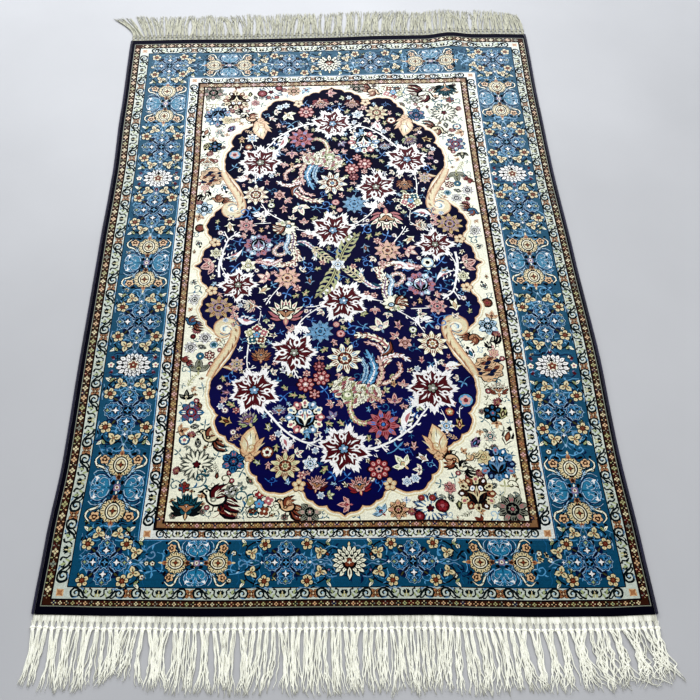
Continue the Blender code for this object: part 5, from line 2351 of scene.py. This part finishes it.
    def add_yarns(self, index, shift):
        """The loose yarns of one tassel, from its knot to their own uneven tips."""
        rng = self.rng
        root = self.roots[index]
        place = index / (TASSELS - 1)
        lean = float(read_table(self.lie, place, 1))
        reach = float(read_table(self.lie, place, 2))
        loose = float(read_table(self.lie, place, 3))
        length = reach * rng.uniform(0.93, 1.03)
        bow = rng.gauss(0, 0.0035) * loose
        for yarn in range(YARNS):
            share = yarn / (YARNS - 1) * 2 - 1
            own_length = length * (1 - abs(rng.gauss(0, 0.055)))
            spread = self.pitch * (0.42 * share + rng.gauss(0, 0.24) * loose)
            phase = rng.uniform(0, 2 * math.pi)
            wander = rng.uniform(0.0006, 0.0018) * loose
            curl = rng.uniform(0.0007, 0.0018) * loose ** 1.3
            turns = rng.uniform(14, 30)
            stray = rng.gauss(0, 0.0045) * loose
            level = rng.uniform(0, 1)
            path, radii = [], []
            for step in range(YARN_STEPS + 1):
                along = step / YARN_STEPS
                bend = along ** 1.5
                x = root + self.pitch * 0.20 * share * (1 - along) + (lean + shift) * bend
                x += spread * along ** 0.8 + bow * math.sin(math.pi * along)
                x += wander * math.sin(5.2 * along + phase) * along ** 0.5 + stray * along ** 4
                x += curl * math.sin(turns * along + 2 * phase) * along ** 0.7
                away = self.strand_start - TUCK + (own_length + TUCK) * along
                away += curl * math.cos(13 * along + phase) * along
                height = YARN_BASE + (YARN_PILING - 0.0008 * along) * level * (1 - 0.4 * along)
                height += 0.0005 * abs(math.sin(7 * along + phase)) * (1 - along)
                path.append(self.point(x, away, height))
                taper = 1.0
                if along >= TIP_START:
                    taper -= TIP_NARROWS * (along - TIP_START) / (1 - TIP_START)
                radii.append(YARN_RADIUS * taper * (1 + 0.10 * math.sin(19 * along + phase)))
            self.add_tube(path, radii, YARN_SIDES)

    def build(self, name, material):
        """The whole fringe as one mesh; the lean of each tassel follows the one before."""
        self.add_strip()
        shift = 0.0
        for index, root in enumerate(self.roots):
            self.add_legs(root)
            self.add_knot(root)
            shift = 0.62 * shift + self.rng.gauss(0, 0.0042)
            self.add_yarns(index, shift)
        return plain_mesh(name, self.places, self.faces, material)


# ================================================================ materials
KNOTS_PER_METRE = 620
FIBRES_PER_METRE = 1500
ROW_STRETCH = (5.0, 260.0, 1.0)      # woven rows: long across the rug, fine along it
DYE_BAND_STRETCH = (0.8, 9.0, 1.0)   # slow bands where the weaver changed yarns
# Painted sheen along the rug, paler and lighter away from the viewer and darker at the near end: change
# for each metre away from the viewer, value in the middle.
SHEEN_SATURATION = (-0.26, 0.86)
SHEEN_GAMMA = (-0.09, 1.07)
SHEEN_SHADE = (0.20, 0.45)
# How much each kind of unevenness adds to the shade.
KNOT_SHADE = 0.22
ROW_SHADE = 0.30
BAND_SHADE = 0.34
FIBRE_SHADE = 0.14


def make_pile_material(name, strength):
    """Cut silk and wool: dyes from the mosaic, knot by knot shade, woven rows, soft fibre, a painted
    sheen that pales and lightens the far end, and painted shade at each knot's rim.
    """
    material, tree, shader = new_material(
        name, Roughness=0.82, Sheen_Weight=0.05, Sheen_Roughness=0.34,
        Sheen_Tint=(0.92, 0.95, 1.0, 1.0), Specular_IOR_Level=0.06)
    place = add_node(tree, "TexCoord").outputs["Object"]
    away = add_node(tree, "SeparateXYZ", links={"Vector": place}).outputs["Y"]

    def noise(where, scale, detail):
        node = add_node(tree, "TexNoise", links={"Vector": where, "Scale": scale, "Detail": detail})
        return node.outputs["Fac"]

    dye = add_node(tree, "VertexColor", {"layer_name": "dye"}).outputs["Color"]
    # Painted sheen: the dyes pale and lighten away from the viewer, and deepen at the near end.
    pale = add_node(tree, "HueSaturation", links={
        "Saturation": maths(tree, 'MULTIPLY_ADD', away, *SHEEN_SATURATION), "Color": dye})
    sheen_lightened = add_node(tree, "Gamma", links={
        "Color": pale.outputs[0], "Gamma": maths(tree, 'MULTIPLY_ADD', away, *SHEEN_GAMMA)})

    knots = vector_maths(tree, 'MULTIPLY', place, (KNOTS_PER_METRE, KNOTS_PER_METRE, 0.0))
    cell = vector_maths(tree, 'FLOOR', knots)
    speck = add_node(tree, "TexWhiteNoise", {"noise_dimensions": '2D'}, {"Vector": cell})
    fibre = noise(place, FIBRES_PER_METRE, 2.0)
    # The brightness starts from a painted sheen that rises away from the viewer; the unevenness below
    # adds to it.
    shade = maths(tree, 'MULTIPLY_ADD', away, *SHEEN_SHADE)
    for source, weight in (
            (speck.outputs["Value"], KNOT_SHADE),
            (noise(vector_maths(tree, 'MULTIPLY', place, ROW_STRETCH), 1.0, 2.0), ROW_SHADE),
            (noise(vector_maths(tree, 'MULTIPLY', place, DYE_BAND_STRETCH), 1.0, 3.0), BAND_SHADE),
            (fibre, FIBRE_SHADE)):
        shade = maths(tree, 'MULTIPLY_ADD', source, weight, shade)

    # Each knot is a small dome, lower towards its rim; its colour darkens there too, as painted shade
    # between the knots.
    inside = vector_maths(tree, 'FRACTION', knots)
    offset = add_node(tree, "VectorMath", {"operation": 'DISTANCE'},
                      {0: inside, 1: (0.5, 0.5, 0.0)}).outputs["Value"]
    dome = maths(tree, 'MULTIPLY_ADD', offset, -1.3, 1.0)
    brightness_with_rim_shade = maths(tree, 'MULTIPLY', shade, maths(tree, 'MULTIPLY_ADD', dome, 0.5, 0.72))
    tinted = add_node(tree, "VectorMath", {"operation": 'SCALE'}, {0: sheen_lightened.outputs[0], "Scale": brightness_with_rim_shade})
    tree.links.new(tinted.outputs[0], shader.inputs["Base Color"])
    bump = add_node(tree, "Bump", links={"Strength": strength, "Distance": 0.0006,
                                         "Height": maths(tree, 'MULTIPLY_ADD', fibre, 0.9, dome)})
    tree.links.new(bump.outputs["Normal"], shader.inputs["Normal"])
    return material


OVERCAST_PLIES = 900     # about how many ply lines cross one metre
COTTON_PLIES = 1100
# The near and the far fringe's cotton, the far one darker: name, darkest colour (painted shade in the
# ply furrows and low down, and random patches), colour of the yarns.
COTTONS = (
    ("ivory_cotton", (0.42, 0.41, 0.33), (1.0, 0.99, 0.88)),
    ("darker_cotton", (0.11, 0.105, 0.08), (0.54, 0.53, 0.43)),
)
LOW_SHADE_HEIGHT = 0.0004    # painted shade: cotton this low is darkest, and it is unshaded from the next height up
UNSHADED_HEIGHT = 0.0026
YARN_STRETCH = (9.0, 0.7, 9.0)       # soft patches run along the yarns


def make_thread_material(name, dark, light, plies, strength, low_shade=0.0, **values):
    """Spun thread: fine ply lines with painted shade in their furrows, soft shade from place to place,
    and painted shade on what lies low.
    """
    material, tree, shader = new_material(name, **values)
    place = add_node(tree, "TexCoord").outputs["Object"]
    height = add_node(tree, "SeparateXYZ", links={"Vector": place}).outputs["Z"]
    # Painted shade on what lies low: darker towards the floor and under the upper yarns.
    height_shade = add_node(tree, "MapRange", links={
        "Value": height, "From Min": LOW_SHADE_HEIGHT, "From Max": UNSHADED_HEIGHT,
        "To Min": -low_shade, "To Max": low_shade}).outputs[0]
    ply = add_node(tree, "TexNoise", links={"Vector": place, "Scale": plies, "Detail": 3.0})
    strands = vector_maths(tree, 'MULTIPLY', place, YARN_STRETCH)
    cloud = add_node(tree, "TexNoise", links={"Vector": strands, "Scale": 38.0, "Detail": 3.0})
    # Where the ply noise is low its bump makes furrows, and the colour darkens there as painted shade.
    mixed = maths(tree, 'MULTIPLY_ADD', ply.outputs["Fac"], 0.5, cloud.outputs["Fac"])
    ramp = add_node(tree, "ValToRGB", links={"Fac": maths(tree, 'ADD', mixed, height_shade)})
    for stop, share, colour in zip(ramp.color_ramp.elements, (0.55, 0.95), (dark, light)):
        stop.position = share
        stop.color = (*colour, 1.0)
    tree.links.new(ramp.outputs["Color"], shader.inputs["Base Color"])
    bump = add_node(tree, "Bump", links={"Strength": strength, "Distance": 0.0004,
                                         "Height": ply.outputs["Fac"]})
    tree.links.new(bump.outputs["Normal"], shader.inputs["Normal"])
    return material


# ================================================================ putting it together
def within(places, box):
    """Which places lie inside a box of the pattern."""
    left, near, right, far = box
    x, y = places.T
    return (left < x) & (x < right) & (near < y) & (y < far)


pattern = Sketch()
draw_pattern(pattern)
flat, triangles, colours = cut_mosaic(pattern)
middles = middles_of(flat, triangles)
# Five pieces of pile, cut along the dark lines of the borders and across the middle.
in_field = within(middles, inset("field", -3.2))
in_border = within(middles, inset("main border", 0)) & ~in_field
nearer = middles[:, 1] < 0
pile_material = make_pile_material("knotted_pile", strength=0.45)
pile = []
for name, chosen in (("pile_field_near", in_field & nearer), ("pile_field_far", in_field & ~nearer),
                     ("pile_border_near", in_border & nearer), ("pile_border_far", in_border & ~nearer),
                     ("pile_guards", ~in_field & ~in_border)):
    pile.append(make_pile(name, flat, triangles[chosen], colours[chosen], pile_material))

plain = Sketch()
draw_ground(plain)
backing = make_backing(*cut_mosaic(plain), make_pile_material("knotted_back", strength=0.7))

overcast = make_thread_material("navy_overcast", (0.003, 0.002, 0.012), (0.012, 0.010, 0.045),
                                OVERCAST_PLIES, 0.4, Roughness=0.72, Sheen_Weight=0.15)
cottons = [make_thread_material(name, dark, light, COTTON_PLIES, 0.5, low_shade=0.22,
                                Roughness=0.86, Sheen_Weight=0.06)
           for name, dark, light in COTTONS]
bindings = [make_binding("binding_left", -1, overcast), make_binding("binding_right", 1, overcast)]
fringes = [Fringe(name).build("cotton_" + name, cotton)
           for name, cotton in zip(FRINGES, cottons)]

for piece in pile + [backing]:
    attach(piece, "root")
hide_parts("rug_body")
for piece, node in zip(bindings, ("side_binding_left", "side_binding_right")):
    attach(piece, "root")
    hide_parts(node)
for piece, node in zip(fringes, FRINGES):
    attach(piece, "root")
    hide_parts(node)
